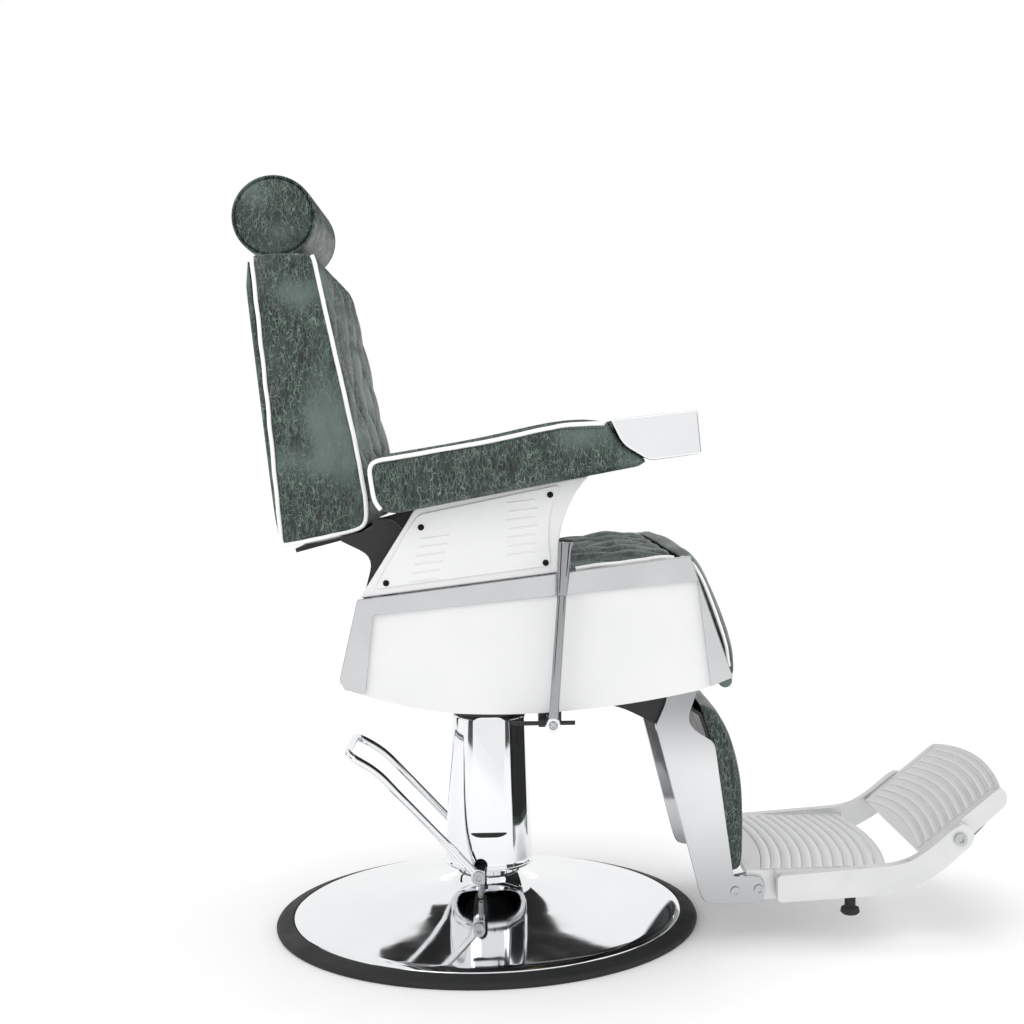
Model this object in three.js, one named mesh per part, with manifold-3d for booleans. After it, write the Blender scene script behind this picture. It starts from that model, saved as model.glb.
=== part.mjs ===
// Hydraulic barber chair: chrome dish base, pumped column, white-sided seat housing, reclining back
// with a roll headrest, padded arms, and a cast footrest with a flip-over end plate.
// Millimetres, +Z up, +X is the way the sitter faces, +Y the sitter's left.
// The origin is on the floor on the column's axis.
import * as THREE from 'three';
import { mergeVertices } from 'three/addons/utils/BufferGeometryUtils.js';
import Module from 'manifold-3d';

const wasm = await Module();
wasm.setup();

// ---- driving dimensions ------------------------------------------------------------------------
const GAP = 0.3;                  // between faces that touch
const RUNNING = 0.4;              // radial clearance of a turning or sliding fit

const BASE_RADIUS = 319;
const RING_WIDTH = 26;
const RING_HEIGHT = 15;
const BALLAST_THICKNESS = 8;
const DISH_THICKNESS = 3;
const DISH_TOP = 68;

const PUMP_RADIUS = 44;
const PUMP_TOP = 296;
const RAM_RADIUS = 25;
const RAM_BOTTOM = 25;
const COVER_BOTTOM = 86;
const COVER_TOP = 314;
const COVER_TOP_RADIUS = PUMP_RADIUS + 13.5;
const COVER_BOTTOM_RADIUS = PUMP_RADIUS + 23.5;
const COVER_WALL = 7;
const FLAT_DEPTH = 5;             // depth of the flat on each side of the column cover
const FLAT_BOTTOM = 142;
const SWIVEL_DISC_THICKNESS = 8;

const PEDAL_PIVOT = { x: -15, z: 82 };
const PEDAL_ROD_RADIUS = 6;
const PEDAL_AXLE_RADIUS = 5;

const BACK_HALF_WIDTH = 245;
const HOUSING_HALF_WIDTH = BACK_HALF_WIDTH + 52;  // outer face of the white side panels
const ARM_PAD_WIDTH = 95;
const PANEL_THICKNESS = 4;
const TRIM_THICKNESS = 2;
const TRIM_BAND = 30;             // visible width of the chrome band
const CHEEK_THICKNESS = 10;
const HINGE_ARM_THICKNESS = 8;
const SEAT_PLATE_BOTTOM = 390;    // underside of the spider's plate
const SEAT_PLATE_TOP = 402;
const BOARD_DROP = 42;            // seat board's underside below the housing's rim
const BOARD_THICKNESS = 10;
const CUSHION_PROUD = 12;         // seat cushion above the rim

const RECLINE_PIVOT = { x: -150, z: 520 };
const RECLINE_PIN_RADIUS = 8;
const RECLINE_RANGE = 45;
const HORN_LENGTH = 60;           // pivot to the gas spring's pin
const HORN_ANGLE = 15;            // the horn hangs this many degrees behind vertical at rest
const HORN_PIN_RADIUS = 5;
const BACK_PLATE_HALF = 180;      // the mounting plate under the back
const BACK_TOP = 986;
const BACK_LEAN = 6.9;            // degrees the headrest slides back from vertical
const HEADREST_RADIUS = 60;
const HEADREST_HALF_WIDTH = 140;
const POST_WIDTH = 60;
const POST_THICKNESS = 8;
const POST_LENGTH = 150;
const POST_DROP = 104;            // the post's middle below the roll's centre

const LEVER_PIVOT = { x: 86, z: 353 };
const LEVER_TOP = { x: 102.5, z: 597 };
const LEVER_Y = -(HOUSING_HALF_WIDTH + 31);
const LEVER_SHAFT_RADIUS = 6;

const LEG_HALF_WIDTH = 160;       // inner faces of the leg brackets
const LEG_THICKNESS = 8;
const FOOT_SCREW_RADIUS = 4;
const RAIL_WIDTH = 17;
const FOOTPLATE_THICKNESS = 9;
const FLIP_PIVOT = { x: 680, z: 153 };
const FLIP_ANGLE = 37.8;          // degrees the flip plate rises from level at rest
const FLIP_SCREW_RADIUS = 5;

// ---- places worked out from them ---------------------------------------------------------------
const RIM_REAR = { x: -173, z: 517 };
const RIM_FRONT = { x: 272, z: 573 };
const RIM_SLOPE = (RIM_FRONT.z - RIM_REAR.z) / (RIM_FRONT.x - RIM_REAR.x);
const HINGE_ARM_OUTER = BACK_HALF_WIDTH - 1;
const CHEEK_INNER = BACK_HALF_WIDTH + 3;
const CHEEK_OUTER = CHEEK_INNER + CHEEK_THICKNESS;
const ARM_SUPPORT_INNER = CHEEK_OUTER + 4;
const ARM_SUPPORT_OUTER = HOUSING_HALF_WIDTH + 1;
const ARM_PAD_INNER = BACK_HALF_WIDTH + 5;
const PANEL_INNER = HOUSING_HALF_WIDTH - PANEL_THICKNESS;
const LEG_OUTER = LEG_HALF_WIDTH + LEG_THICKNESS;
const RAIL_INNER = LEG_OUTER + 1;
const RAIL_OUTER = RAIL_INNER + RAIL_WIDTH;
const FLIP_HALF_WIDTH = RAIL_INNER - 1.5;
const PEDAL_ARM_Y = COVER_BOTTOM_RADIUS + PEDAL_ROD_RADIUS + 1.5;

const radians = THREE.MathUtils.degToRad;
const rimHeight = (x) => RIM_REAR.z + (x - RIM_REAR.x) * RIM_SLOPE;
// The height at x of a line lying depth below the rim, square to its slope.
const belowRim = (x, depth) => rimHeight(x) - depth / Math.cos(Math.atan(RIM_SLOPE));

// ---- finishes ----------------------------------------------------------------------------------
const finish = (color, roughness, metalness) =>
  new THREE.MeshStandardMaterial({ color, roughness, metalness });
const CHROME = finish(0xd8dadc, 0.12, 1);
const CAST_ALUMINIUM = finish(0xc9cbcd, 0.45, 0.8);
const WHITE_LACQUER = finish(0xf2f2f2, 0.25, 0);
const BLACK_STEEL = finish(0x1b1b1d, 0.5, 0.3);
const BRIGHT_STEEL = finish(0xa8abae, 0.3, 1);
const CAST_IRON = finish(0x2b2c2e, 0.8, 0.4);
const BLACK_RUBBER = finish(0x1d1d1e, 0.85, 0);
const GREEN_LEATHER = finish(0x3a5146, 0.5, 0);
const PLYWOOD = finish(0xb08b5d, 0.8, 0);

// ---- making and joining solids -----------------------------------------------------------------
const chair = new THREE.Group();

function toSolid(geometry) {
  const bare = geometry.clone();
  bare.deleteAttribute('normal');
  bare.deleteAttribute('uv');
  const welded = mergeVertices(bare, 1e-4);
  const index = welded.index.array;
  const triangles = [];
  for (let i = 0; i < index.length; i += 3) {
    const [a, b, c] = [index[i], index[i + 1], index[i + 2]];
    if (a !== b && b !== c && c !== a) triangles.push(a, b, c);
  }
  return new wasm.Manifold(new wasm.Mesh({
    numProp: 3,
    vertProperties: new Float32Array(welded.attributes.position.array),
    triVerts: new Uint32Array(triangles),
  }));
}

function toGeometry(solid) {
  const mesh = solid.getMesh();
  const geometry = new THREE.BufferGeometry();
  geometry.setAttribute('position', new THREE.BufferAttribute(new Float32Array(mesh.vertProperties), 3));
  geometry.setIndex(new THREE.BufferAttribute(new Uint32Array(mesh.triVerts), 1));
  return geometry;
}

function join(...geometries) {
  return toGeometry(geometries.map(toSolid).reduce((whole, piece) => whole.add(piece)));
}

function cut(geometry, ...tools) {
  return toGeometry(tools.map(toSolid).reduce((whole, tool) => whole.subtract(tool), toSolid(geometry)));
}

function add(name, geometry, material, parent = chair) {
  const mesh = new THREE.Mesh(toGeometry(toSolid(geometry)), material);
  mesh.name = name;
  parent.add(mesh);
  return mesh;
}

// An outline in the X-Z plane. A point is [x, z] or [x, z, corner radius].
function outline(points) {
  const shape = new THREE.Shape();
  const count = points.length;
  for (let i = 0; i < count; i += 1) {
    const before = points[(i + count - 1) % count];
    const [x, z, radius = 0] = points[i];
    const after = points[(i + 1) % count];
    const towards = ([px, pz]) => {
      const length = Math.hypot(px - x, pz - z);
      const reach = Math.min(radius, length / 2);
      return [x + (px - x) / length * reach, z + (pz - z) / length * reach];
    };
    const [entryX, entryZ] = towards(before);
    if (i === 0) shape.moveTo(entryX, entryZ);
    else shape.lineTo(entryX, entryZ);
    if (radius > 0) shape.quadraticCurveTo(x, z, ...towards(after));
  }
  shape.closePath();
  return shape;
}

// A side-view outline made as thick as the span from y0 to y1.
function plate(points, y0, y1, curveSegments = 5) {
  const shape = Array.isArray(points) ? outline(points) : points;
  const geometry = new THREE.ExtrudeGeometry(shape, {
    depth: Math.abs(y1 - y0), bevelEnabled: false, curveSegments,
  });
  return geometry.rotateX(Math.PI / 2).translate(0, Math.max(y0, y1), 0);
}

// A plan-view outline, points [x, y], made as thick as the span from z0 to z1.
function slab(points, z0, z1, curveSegments = 5) {
  const shape = outline(points);
  const geometry = new THREE.ExtrudeGeometry(shape, { depth: z1 - z0, bevelEnabled: false, curveSegments });
  return geometry.translate(0, 0, z0);
}

function box(x0, x1, y0, y1, z0, z1) {
  return new THREE.BoxGeometry(x1 - x0, y1 - y0, z1 - z0)
    .translate((x0 + x1) / 2, (y0 + y1) / 2, (z0 + z1) / 2);
}

// A round bar along Y.
function barY(x, z, radius, y0, y1, sides = 16) {
  return new THREE.CylinderGeometry(radius, radius, Math.abs(y1 - y0), sides)
    .translate(x, (y0 + y1) / 2, z);
}

// A round bar along X.
function barX(x0, x1, y, z, radius, sides = 16) {
  return new THREE.CylinderGeometry(radius, radius, x1 - x0, sides)
    .rotateZ(Math.PI / 2).translate((x0 + x1) / 2, y, z);
}

// A turned piece about the Z axis, profile points [radius, z] going round anticlockwise.
function turned(points, sides = 48) {
  const profile = points.map(([r, z]) => new THREE.Vector2(r, z));
  return new THREE.LatheGeometry(profile, sides).rotateX(Math.PI / 2);
}

// A route through points with its corners rounded off.
function roundedRoute(points, radius) {
  const route = new THREE.CurvePath();
  let from = points[0];
  for (let i = 1; i < points.length - 1; i += 1) {
    const corner = points[i];
    const entry = corner.clone().lerp(points[i - 1], radius / corner.distanceTo(points[i - 1]));
    const exit = corner.clone().lerp(points[i + 1], radius / corner.distanceTo(points[i + 1]));
    route.add(new THREE.LineCurve3(from, entry));
    route.add(new THREE.QuadraticBezierCurve3(entry, corner, exit));
    from = exit;
  }
  route.add(new THREE.LineCurve3(from, points.at(-1)));
  return route;
}

function rodAlong(route, radius, steps, sides = 10) {
  const section = new THREE.Shape();
  for (let i = 0; i < sides; i += 1) {
    const turn = i / sides * Math.PI * 2;
    const place = [radius * Math.cos(turn), radius * Math.sin(turn)];
    if (i === 0) section.moveTo(...place);
    else section.lineTo(...place);
  }
  section.closePath();
  return new THREE.ExtrudeGeometry(section, { steps, extrudePath: route, bevelEnabled: false });
}

// Both sides of the chair: 'left' is the sitter's left, +Y.
const SIDES = [['left', 1], ['right', -1]];

// A button-headed screw along Y with a hexagon socket; its head lies on faceY and its shank goes inward.
function socketScrew(x, z, side, faceY, shankRadius, shankLength) {
  const headRadius = shankRadius * 1.9;
  const headHeight = shankRadius * 0.9;
  const socket = barY(x, z, shankRadius * 0.9, side * (faceY + headHeight * 0.4),
    side * (faceY + headHeight * 2), 6);
  const head = barY(x, z, headRadius, side * (faceY + GAP), side * (faceY + headHeight), 14);
  const shank = barY(x, z, shankRadius, side * (faceY - shankLength), side * (faceY + headHeight / 2), 10);
  return cut(join(head, shank), socket);
}

// ---- base --------------------------------------------------------------------------------------
const RING_INNER = BASE_RADIUS - RING_WIDTH;

function buildBase() {
  const plateRadius = RING_INNER - GAP;
  add('base_plate', turned([
    [0, 0], [plateRadius, 0], [plateRadius, BALLAST_THICKNESS], [0, BALLAST_THICKNESS],
  ], 48), CAST_IRON);
  add('base_ring', turned([
    [RING_INNER, 0], [BASE_RADIUS - 1, 0], [BASE_RADIUS, 2], [BASE_RADIUS - 1, 6],
    [BASE_RADIUS - 4, RING_HEIGHT * 0.58], [RING_INNER, RING_HEIGHT], [RING_INNER, 0],
  ], 48), BLACK_RUBBER);

  const rim = RING_INNER - GAP;
  const foot = BALLAST_THICKNESS + GAP;
  const collar = PUMP_RADIUS + GAP;
  const top = [
    [rim, RING_HEIGHT], [rim - 12, RING_HEIGHT + 5], [rim * 0.6, 31], [rim * 0.38, 39],
    [rim * 0.26, 47], [collar + DISH_THICKNESS + 7, 56], [collar + DISH_THICKNESS + 1, DISH_TOP],
  ];
  const under = top.map(([r, z]) => [r - DISH_THICKNESS * 0.6, z - DISH_THICKNESS]).reverse();
  under[0] = [collar, DISH_TOP - 2];
  add('base_dish', turned([
    [rim - DISH_THICKNESS, foot], [rim, foot], ...top, [collar, DISH_TOP], ...under.slice(0, -1),
    [rim - DISH_THICKNESS, RING_HEIGHT - 2], [rim - DISH_THICKNESS, foot],
  ], 48), CHROME);
}

// ---- pump, ram and column cover -----------------------------------------------------------------
function buildPump() {
  const bore = RAM_RADIUS + RUNNING;
  const foot = BALLAST_THICKNESS + GAP;
  const tube = turned([
    [0, foot], [PUMP_RADIUS, foot], [PUMP_RADIUS, PUMP_TOP], [bore, PUMP_TOP], [bore, RAM_BOTTOM - 5],
    [0, RAM_BOTTOM - 5],
  ], 40);
  const bossReach = PUMP_RADIUS + 9;
  const boss = barY(PEDAL_PIVOT.x, PEDAL_PIVOT.z, 11, -bossReach, bossReach);
  const ramSpace = new THREE.CylinderGeometry(bore, bore, 60, 40).rotateX(Math.PI / 2)
    .translate(0, 0, PEDAL_PIVOT.z);
  const axleHole = (side) => barY(PEDAL_PIVOT.x, PEDAL_PIVOT.z, PEDAL_AXLE_RADIUS + GAP,
    side * (PUMP_RADIUS - 14), side * (bossReach + 1));
  add('pump_cylinder', cut(join(tube, boss), ramSpace, axleHole(1), axleHole(-1)), CHROME);
}

function buildLift() {
  const seatTaper = RAM_RADIUS - 1;
  const shoulder = COVER_TOP + SWIVEL_DISC_THICKNESS + GAP;
  add('ram', turned([
    [0, RAM_BOTTOM], [RAM_RADIUS, RAM_BOTTOM], [RAM_RADIUS, shoulder], [seatTaper, shoulder + 1],
    [seatTaper - 1, SEAT_PLATE_BOTTOM - 14], [0, SEAT_PLATE_BOTTOM - 14],
  ], 48), BRIGHT_STEEL);

  const hole = RAM_RADIUS + GAP;
  const crown = COVER_TOP - 8;
  const shell = turned([
    [COVER_BOTTOM_RADIUS - COVER_WALL, COVER_BOTTOM], [COVER_BOTTOM_RADIUS, COVER_BOTTOM],
    [COVER_TOP_RADIUS, COVER_TOP - 3], [COVER_TOP_RADIUS - 3, COVER_TOP], [hole, COVER_TOP], [hole, crown],
    [COVER_TOP_RADIUS - COVER_WALL, crown], [COVER_BOTTOM_RADIUS - COVER_WALL, COVER_BOTTOM],
  ], 48);
  const height = COVER_TOP - COVER_BOTTOM;
  const lean = Math.atan((COVER_BOTTOM_RADIUS - COVER_TOP_RADIUS) / height);
  const radiusAtFlat = THREE.MathUtils.mapLinear(FLAT_BOTTOM, COVER_BOTTOM, COVER_TOP,
    COVER_BOTTOM_RADIUS, COVER_TOP_RADIUS);
  const flatTool = (side) => new THREE.BoxGeometry(120, 30, 240)
    .translate(0, side * 15, 120)
    .rotateX(side * lean)
    .translate(0, side * (radiusAtFlat - FLAT_DEPTH), FLAT_BOTTOM);
  const notchHalfWidth = PEDAL_AXLE_RADIUS + 5;
  const notchX = PEDAL_PIVOT.x + 3;
  const notchTop = PEDAL_PIVOT.z + 14;
  const reach = COVER_BOTTOM_RADIUS + 10;
  const notch = join(
    barY(notchX, notchTop, notchHalfWidth, -reach, reach),
    box(notchX - notchHalfWidth, notchX + notchHalfWidth, -reach, reach, COVER_BOTTOM - 10, notchTop),
  );
  add('column_cover', cut(shell, flatTool(1), flatTool(-1), notch), CHROME);

  add('swivel_disc', turned([
    [hole, COVER_TOP + GAP], [COVER_TOP_RADIUS - 2, COVER_TOP + GAP],
    [COVER_TOP_RADIUS - 2, COVER_TOP + SWIVEL_DISC_THICKNESS], [hole, COVER_TOP + SWIVEL_DISC_THICKNESS],
    [hole, COVER_TOP + GAP],
  ], 48), BLACK_STEEL);
}

// ---- pump pedal --------------------------------------------------------------------------------
function buildPedal() {
  const { x, z } = PEDAL_PIVOT;
  const point = (dx, y, dz) => new THREE.Vector3(x + dx, y, z + dz);
  const loop = rodAlong(roundedRoute([
    point(-6, -PEDAL_ARM_Y, 7), point(-152, -PEDAL_ARM_Y, 160), point(-194, -PEDAL_ARM_Y, 184),
    point(-194, PEDAL_ARM_Y, 184), point(-152, PEDAL_ARM_Y, 160), point(-6, PEDAL_ARM_Y, 7),
  ], 20), PEDAL_ROD_RADIUS, 36, 8);
  const eye = (side) => {
    const inner = side * (PEDAL_ARM_Y - PEDAL_ROD_RADIUS + 1);
    const outer = side * (PEDAL_ARM_Y + PEDAL_ROD_RADIUS);
    return plate([
      [x - 9, z - 10, 3], [x + 9, z - 10, 3], [x + 9, z + 9, 3], [x - 3, z + 13, 2], [x - 12, z + 5, 2],
    ], inner, outer);
  };
  const bore = barY(x, z, PEDAL_AXLE_RADIUS + GAP, -PEDAL_ARM_Y - 20, PEDAL_ARM_Y + 20);
  add('pedal_loop', cut(join(loop, eye(1), eye(-1)), bore), CHROME);

  for (const [label, side] of SIDES) {
    const face = PEDAL_ARM_Y + PEDAL_ROD_RADIUS;
    add(`pedal_bolt_${label}`,
      socketScrew(x, z, side, face + GAP, PEDAL_AXLE_RADIUS, face - PUMP_RADIUS + 6), BRIGHT_STEEL);
  }
}

// ---- seat frame, boards and housing -------------------------------------------------------------
const HOUSING = {
  rearTop: [RIM_REAR.x, RIM_REAR.z],
  frontTop: [RIM_FRONT.x, RIM_FRONT.z],
  frontCorner: [330, 409],
  frontFoot: [289, 392],
  belly: [-44, 364],
  rearFoot: [-189, 398],
  rearCorner: [-196, 411],
};

// The edge of the housing's front at height z, moved back by inset.
function frontEdge(z, inset) {
  const [x0, z0] = HOUSING.frontTop;
  const [x1, z1] = HOUSING.frontCorner;
  return [x0 + (z0 - z) / (z0 - z1) * (x1 - x0) - inset, z];
}

// The edge of the housing's rear at height z, moved forward by inset.
function rearEdge(z, inset) {
  const [x0, z0] = HOUSING.rearTop;
  const [x1, z1] = HOUSING.rearCorner;
  return [x0 + (z0 - z) / (z0 - z1) * (x1 - x0) + inset, z];
}

// A pad down the housing's front and under its foot. It is thin at the two ends and crowned between them.
function frontPad(half) {
  const side = plate([
    frontEdge(574, -0.6), frontEdge(409.4, -0.6), [312, 409.4, 4], [308, 402, 6], [316, 393.5, 6], [334, 394, 8],
    [350, 408, 12], [356, 440, 20], [344, 478, 30], [326, 520, 30], [304, 558, 30], [284, 578, 8],
  ], -half, half, 8);
  const rear = -50;
  const [thin, shoulder, crown] = [7, 22, 32];
  const lean = Math.atan2(HOUSING.frontCorner[0] - RIM_FRONT.x, RIM_FRONT.z - HOUSING.frontCorner[1]);
  const crowned = slab([
    [rear, -half], [thin, -half], [shoulder, -half * 0.75, 50], [crown, -half * 0.3, 50],
    [crown, half * 0.3, 50], [shoulder, half * 0.75, 50], [thin, half], [rear, half],
  ], -40, 200).rotateY(-lean).translate(HOUSING.frontCorner[0], 0, HOUSING.frontCorner[1]);
  return toGeometry(toSolid(side).intersect(toSolid(crowned)));
}

const GAS_LINE = RECLINE_PIVOT.z - HORN_LENGTH + 4;
const MID_BAR = { x0: 62, x1: 92 };

function buildSeatFrame() {
  const boss = turned([
    [0, COVER_TOP + SWIVEL_DISC_THICKNESS + 2 * GAP], [42, COVER_TOP + SWIVEL_DISC_THICKNESS + 2 * GAP],
    [42, SEAT_PLATE_BOTTOM + 2], [0, SEAT_PLATE_BOTTOM + 2],
  ], 48);
  const socket = turned([
    [0, COVER_TOP], [RAM_RADIUS + RUNNING, COVER_TOP],
    [RAM_RADIUS + RUNNING, COVER_TOP + SWIVEL_DISC_THICKNESS + 2 * GAP + 2],
    [RAM_RADIUS - 1 + RUNNING, COVER_TOP + SWIVEL_DISC_THICKNESS + 2 * GAP + 3],
    [RAM_RADIUS - 1 + RUNNING, SEAT_PLATE_BOTTOM - 12], [0, SEAT_PLATE_BOTTOM - 12],
  ], 48);
  const spiderPlate = slab([
    [-150, -60, 15], [-60, -CHEEK_OUTER + 4, 15], [60, -CHEEK_OUTER + 4, 15], [150, -60, 15],
    [150, 60, 15], [60, CHEEK_OUTER - 4, 15], [-60, CHEEK_OUTER - 4, 15], [-150, 60, 15],
  ], SEAT_PLATE_BOTTOM, SEAT_PLATE_TOP - GAP);
  add('seat_spider', cut(join(boss, spiderPlate), socket), BLACK_STEEL);

  const lug = RECLINE_PIN_RADIUS + 11;
  const { x, z } = RECLINE_PIVOT;
  const top = (px) => [px, belowRim(px, BOARD_DROP + GAP)];
  const cheek = [
    [x - lug + 2, SEAT_PLATE_TOP, 6], [300, SEAT_PLATE_TOP, 6], [...top(258), 4],
    top(x + lug + 20), [x + lug, z + 2, 10], [x + lug * 0.6, z + lug, 8], [x - lug * 0.6, z + lug, 8],
    [x - lug, z - 4, 6],
  ];
  const bar = (x0, x1, z0, z1) => box(x0, x1, -CHEEK_INNER - 1, CHEEK_INNER + 1, z0, z1);
  const pinHole = barY(x, z, RECLINE_PIN_RADIUS + GAP, -CHEEK_OUTER - 10, CHEEK_OUTER + 10);
  add('seat_frame', cut(join(
    plate(cheek, CHEEK_INNER, CHEEK_OUTER), plate(cheek, -CHEEK_INNER, -CHEEK_OUTER),
    bar(x - 14, x + 16, SEAT_PLATE_TOP, SEAT_PLATE_TOP + 30),
    bar(MID_BAR.x0, MID_BAR.x1, GAS_LINE - 15, GAS_LINE + 15),
    bar(240, 270, SEAT_PLATE_TOP, SEAT_PLATE_TOP + 30),
  ), pinHole), BLACK_STEEL);

  const slope = Math.atan(RIM_SLOPE);
  const tilted = (geometry) => geometry.rotateY(-slope).translate(RIM_REAR.x, 0, RIM_REAR.z);
  const along = (px) => (px - RIM_REAR.x) / Math.cos(slope);
  add('seat_board', tilted(box(along(-98), along(254), -CHEEK_OUTER, CHEEK_OUTER, -BOARD_DROP,
    -BOARD_DROP + BOARD_THICKNESS)), PLYWOOD);

  const rear = BACK_HALF_WIDTH - 15;
  const middle = ARM_SUPPORT_INNER - 4;
  const wide = PANEL_INNER - 3;
  const plan = [
    [along(-128), rear, 20], [along(-98), rear], [along(-88), middle, 6], [along(100), middle],
    [along(114), wide, 10], [along(256), wide, 14],
  ];
  const mirrored = plan.map(([px, py, r = 0]) => [px, -py, r]).reverse();
  add('seat_cushion', tilted(slab([...mirrored, ...plan].reverse(), -BOARD_DROP + BOARD_THICKNESS + 1,
    CUSHION_PROUD)), GREEN_LEATHER);

  const boardTop = RIM_FRONT.z - 6;
  add('front_board', plate([
    frontEdge(boardTop, 0), frontEdge(410, 0), frontEdge(410, 10), frontEdge(boardTop, 10),
  ], -PANEL_INNER + GAP, PANEL_INNER - GAP), PLYWOOD);
  add('seat_front_pad', frontPad(PANEL_INNER - 4), GREEN_LEATHER);
  add('rear_panel', plate([
    rearEdge(478, 0), rearEdge(478, 2.5), rearEdge(404, 2.5), rearEdge(404, 0),
  ], -PANEL_INNER + GAP, PANEL_INNER - GAP), WHITE_LACQUER);
}

function buildHousingSides() {
  const { rearTop, frontTop, frontCorner, frontFoot, belly, rearFoot, rearCorner } = HOUSING;
  const panel = new THREE.Shape();
  panel.moveTo(...rearTop);
  panel.lineTo(...rearCorner);
  panel.lineTo(...rearFoot);
  panel.quadraticCurveTo(-120, 372, ...belly);
  panel.quadraticCurveTo(110, 354, ...frontFoot);
  panel.lineTo(...frontCorner);
  panel.lineTo(...frontTop);
  panel.closePath();
  const band = new THREE.Shape();
  band.moveTo(...rearTop);
  band.lineTo(...frontTop);
  band.lineTo(...frontCorner);
  band.lineTo(frontCorner[0] - TRIM_BAND, frontCorner[1] - 12);
  band.lineTo(frontTop[0] + 16 - TRIM_BAND * 0.2, frontTop[1] - TRIM_BAND - 3);
  band.lineTo(rearTop[0] + 21, rearTop[1] - TRIM_BAND + 10);
  band.lineTo(rearFoot[0] + TRIM_BAND - 3, rearFoot[1] - 5);
  band.lineTo(...rearFoot);
  band.lineTo(...rearCorner);
  band.closePath();
  for (const [label, side] of SIDES) {
    add(`side_panel_${label}`, plate(panel, side * PANEL_INNER, side * HOUSING_HALF_WIDTH, 12),
      WHITE_LACQUER);
    add(`trim_band_${label}`, plate(band, side * (HOUSING_HALF_WIDTH + GAP),
      side * (HOUSING_HALF_WIDTH + GAP + TRIM_THICKNESS)), CHROME);
  }
}

// ---- arms --------------------------------------------------------------------------------------
function armPadOutline() {
  return [
    [-160, 703, 12], [-150, 645, 6], [-138, 632, 12], [214, 700], [176, 722, 12], [154, 755],
    [-10, 729, 60],
  ];
}

function buildArms() {
  const rise = 1;
  const support = new THREE.Shape();
  support.moveTo(-170, rimHeight(-170) + rise);
  support.lineTo(93.5, rimHeight(93.5) + rise);
  support.bezierCurveTo(90, 590, 96, 640, 136, 682);
  support.lineTo(-97, 639);
  support.quadraticCurveTo(-106, 632, -110, 616);
  support.closePath();
  const tongue = [
    [-120, rimHeight(-120) + 20], [-120, rimHeight(-120) - 60, 8], [66, rimHeight(66) - 60, 8],
    [66, rimHeight(66) + 20],
  ];
  const cover = [
    [-107, 609, 10], [-92, 630, 8], [98, 670, 12], [84, 640, 30], [80, 600, 20], [84, 561, 8],
    [-150, 531, 8],
  ];
  for (const [label, side] of SIDES) {
    add(`arm_support_${label}`, join(
      plate(support, side * ARM_SUPPORT_INNER, side * ARM_SUPPORT_OUTER, 10),
      plate(tongue, side * ARM_SUPPORT_INNER, side * (PANEL_INNER - 6)),
    ), CAST_ALUMINIUM);
    add(`arm_cover_${label}`, plate(cover, side * (ARM_SUPPORT_OUTER + GAP),
      side * (ARM_SUPPORT_OUTER + GAP + 2)), WHITE_LACQUER);
    add(`arm_pad_${label}`, plate(armPadOutline(), side * ARM_PAD_INNER,
      side * (ARM_PAD_INNER + ARM_PAD_WIDTH), 6), GREEN_LEATHER);
    const capOuter = [
      [160.5, 755.5], [276.5, 769, 3], [282, 711, 3], [216, 702.5, 8], [215, 700.6], [177, 722.8, 12],
    ];
    const capInner = [
      [150, 751], [273.8, 766.4], [279, 713.8], [216, 705.5, 6], [150, 700],
    ];
    const inner = side * ARM_PAD_INNER;
    const outer = side * (ARM_PAD_INNER + ARM_PAD_WIDTH);
    add(`arm_cap_${label}`, cut(plate(capOuter, inner, outer),
      plate(capInner, inner + side * 3, outer - side * 3)), CHROME);
  }
}

// ---- recline hinge and gas spring ----------------------------------------------------------------
const HORN_TIP = {
  x: RECLINE_PIVOT.x - HORN_LENGTH * Math.sin(radians(HORN_ANGLE)),
  z: RECLINE_PIVOT.z - HORN_LENGTH * Math.cos(radians(HORN_ANGLE)),
};

function buildRecline() {
  const { x, z } = RECLINE_PIVOT;
  for (const [label, side] of SIDES) {
    add(`recline_pin_${label}`, barY(x, z, RECLINE_PIN_RADIUS,
      side * (HINGE_ARM_OUTER - HINGE_ARM_THICKNESS - 4), side * (CHEEK_OUTER + 1)), BRIGHT_STEEL);
  }

  const travel = HORN_LENGTH * (Math.sin(radians(HORN_ANGLE)) + Math.sin(radians(RECLINE_RANGE - HORN_ANGLE)));
  const rodRadius = 5;
  const slotX = HORN_PIN_RADIUS + 1.4;
  const slotZ = HORN_PIN_RADIUS + 4.5;
  const rearEnd = HORN_TIP.x - slotX - 3;
  const frontEnd = HORN_TIP.x + slotX + 16;
  const mouth = frontEnd + travel + 1.5;
  const tail = mouth + 62;
  const bore = rodRadius + RUNNING;
  const cylinder = cut(
    barX(mouth, MID_BAR.x0 - GAP, 0, GAS_LINE, 11),
    barX(mouth - 1, tail + travel + 3, 0, GAS_LINE, bore),
  );
  add('gas_cylinder', cylinder, BLACK_STEEL);

  const fork = box(rearEnd, frontEnd, -14, 14, GAS_LINE - slotZ - 3, GAS_LINE + slotZ + 3);
  const throat = box(rearEnd - 1, frontEnd - 6, -7, 7, GAS_LINE - 30, GAS_LINE + 30);
  const slot = box(HORN_TIP.x - slotX, HORN_TIP.x + slotX, -20, 20, GAS_LINE - slotZ, GAS_LINE + slotZ);
  add('gas_rod', join(cut(fork, throat, slot), barX(frontEnd - 3, tail, 0, GAS_LINE, rodRadius)),
    BRIGHT_STEEL);
}

// ---- backrest ----------------------------------------------------------------------------------
const BACK = {
  rearTop: [-326, BACK_TOP - 2],
  frontTop: [-236, BACK_TOP + 2],
  frontMiddle: [-172, 705],
  frontBottom: [-161, 614],
  rearBottom: [-278, 581],
};

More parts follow.
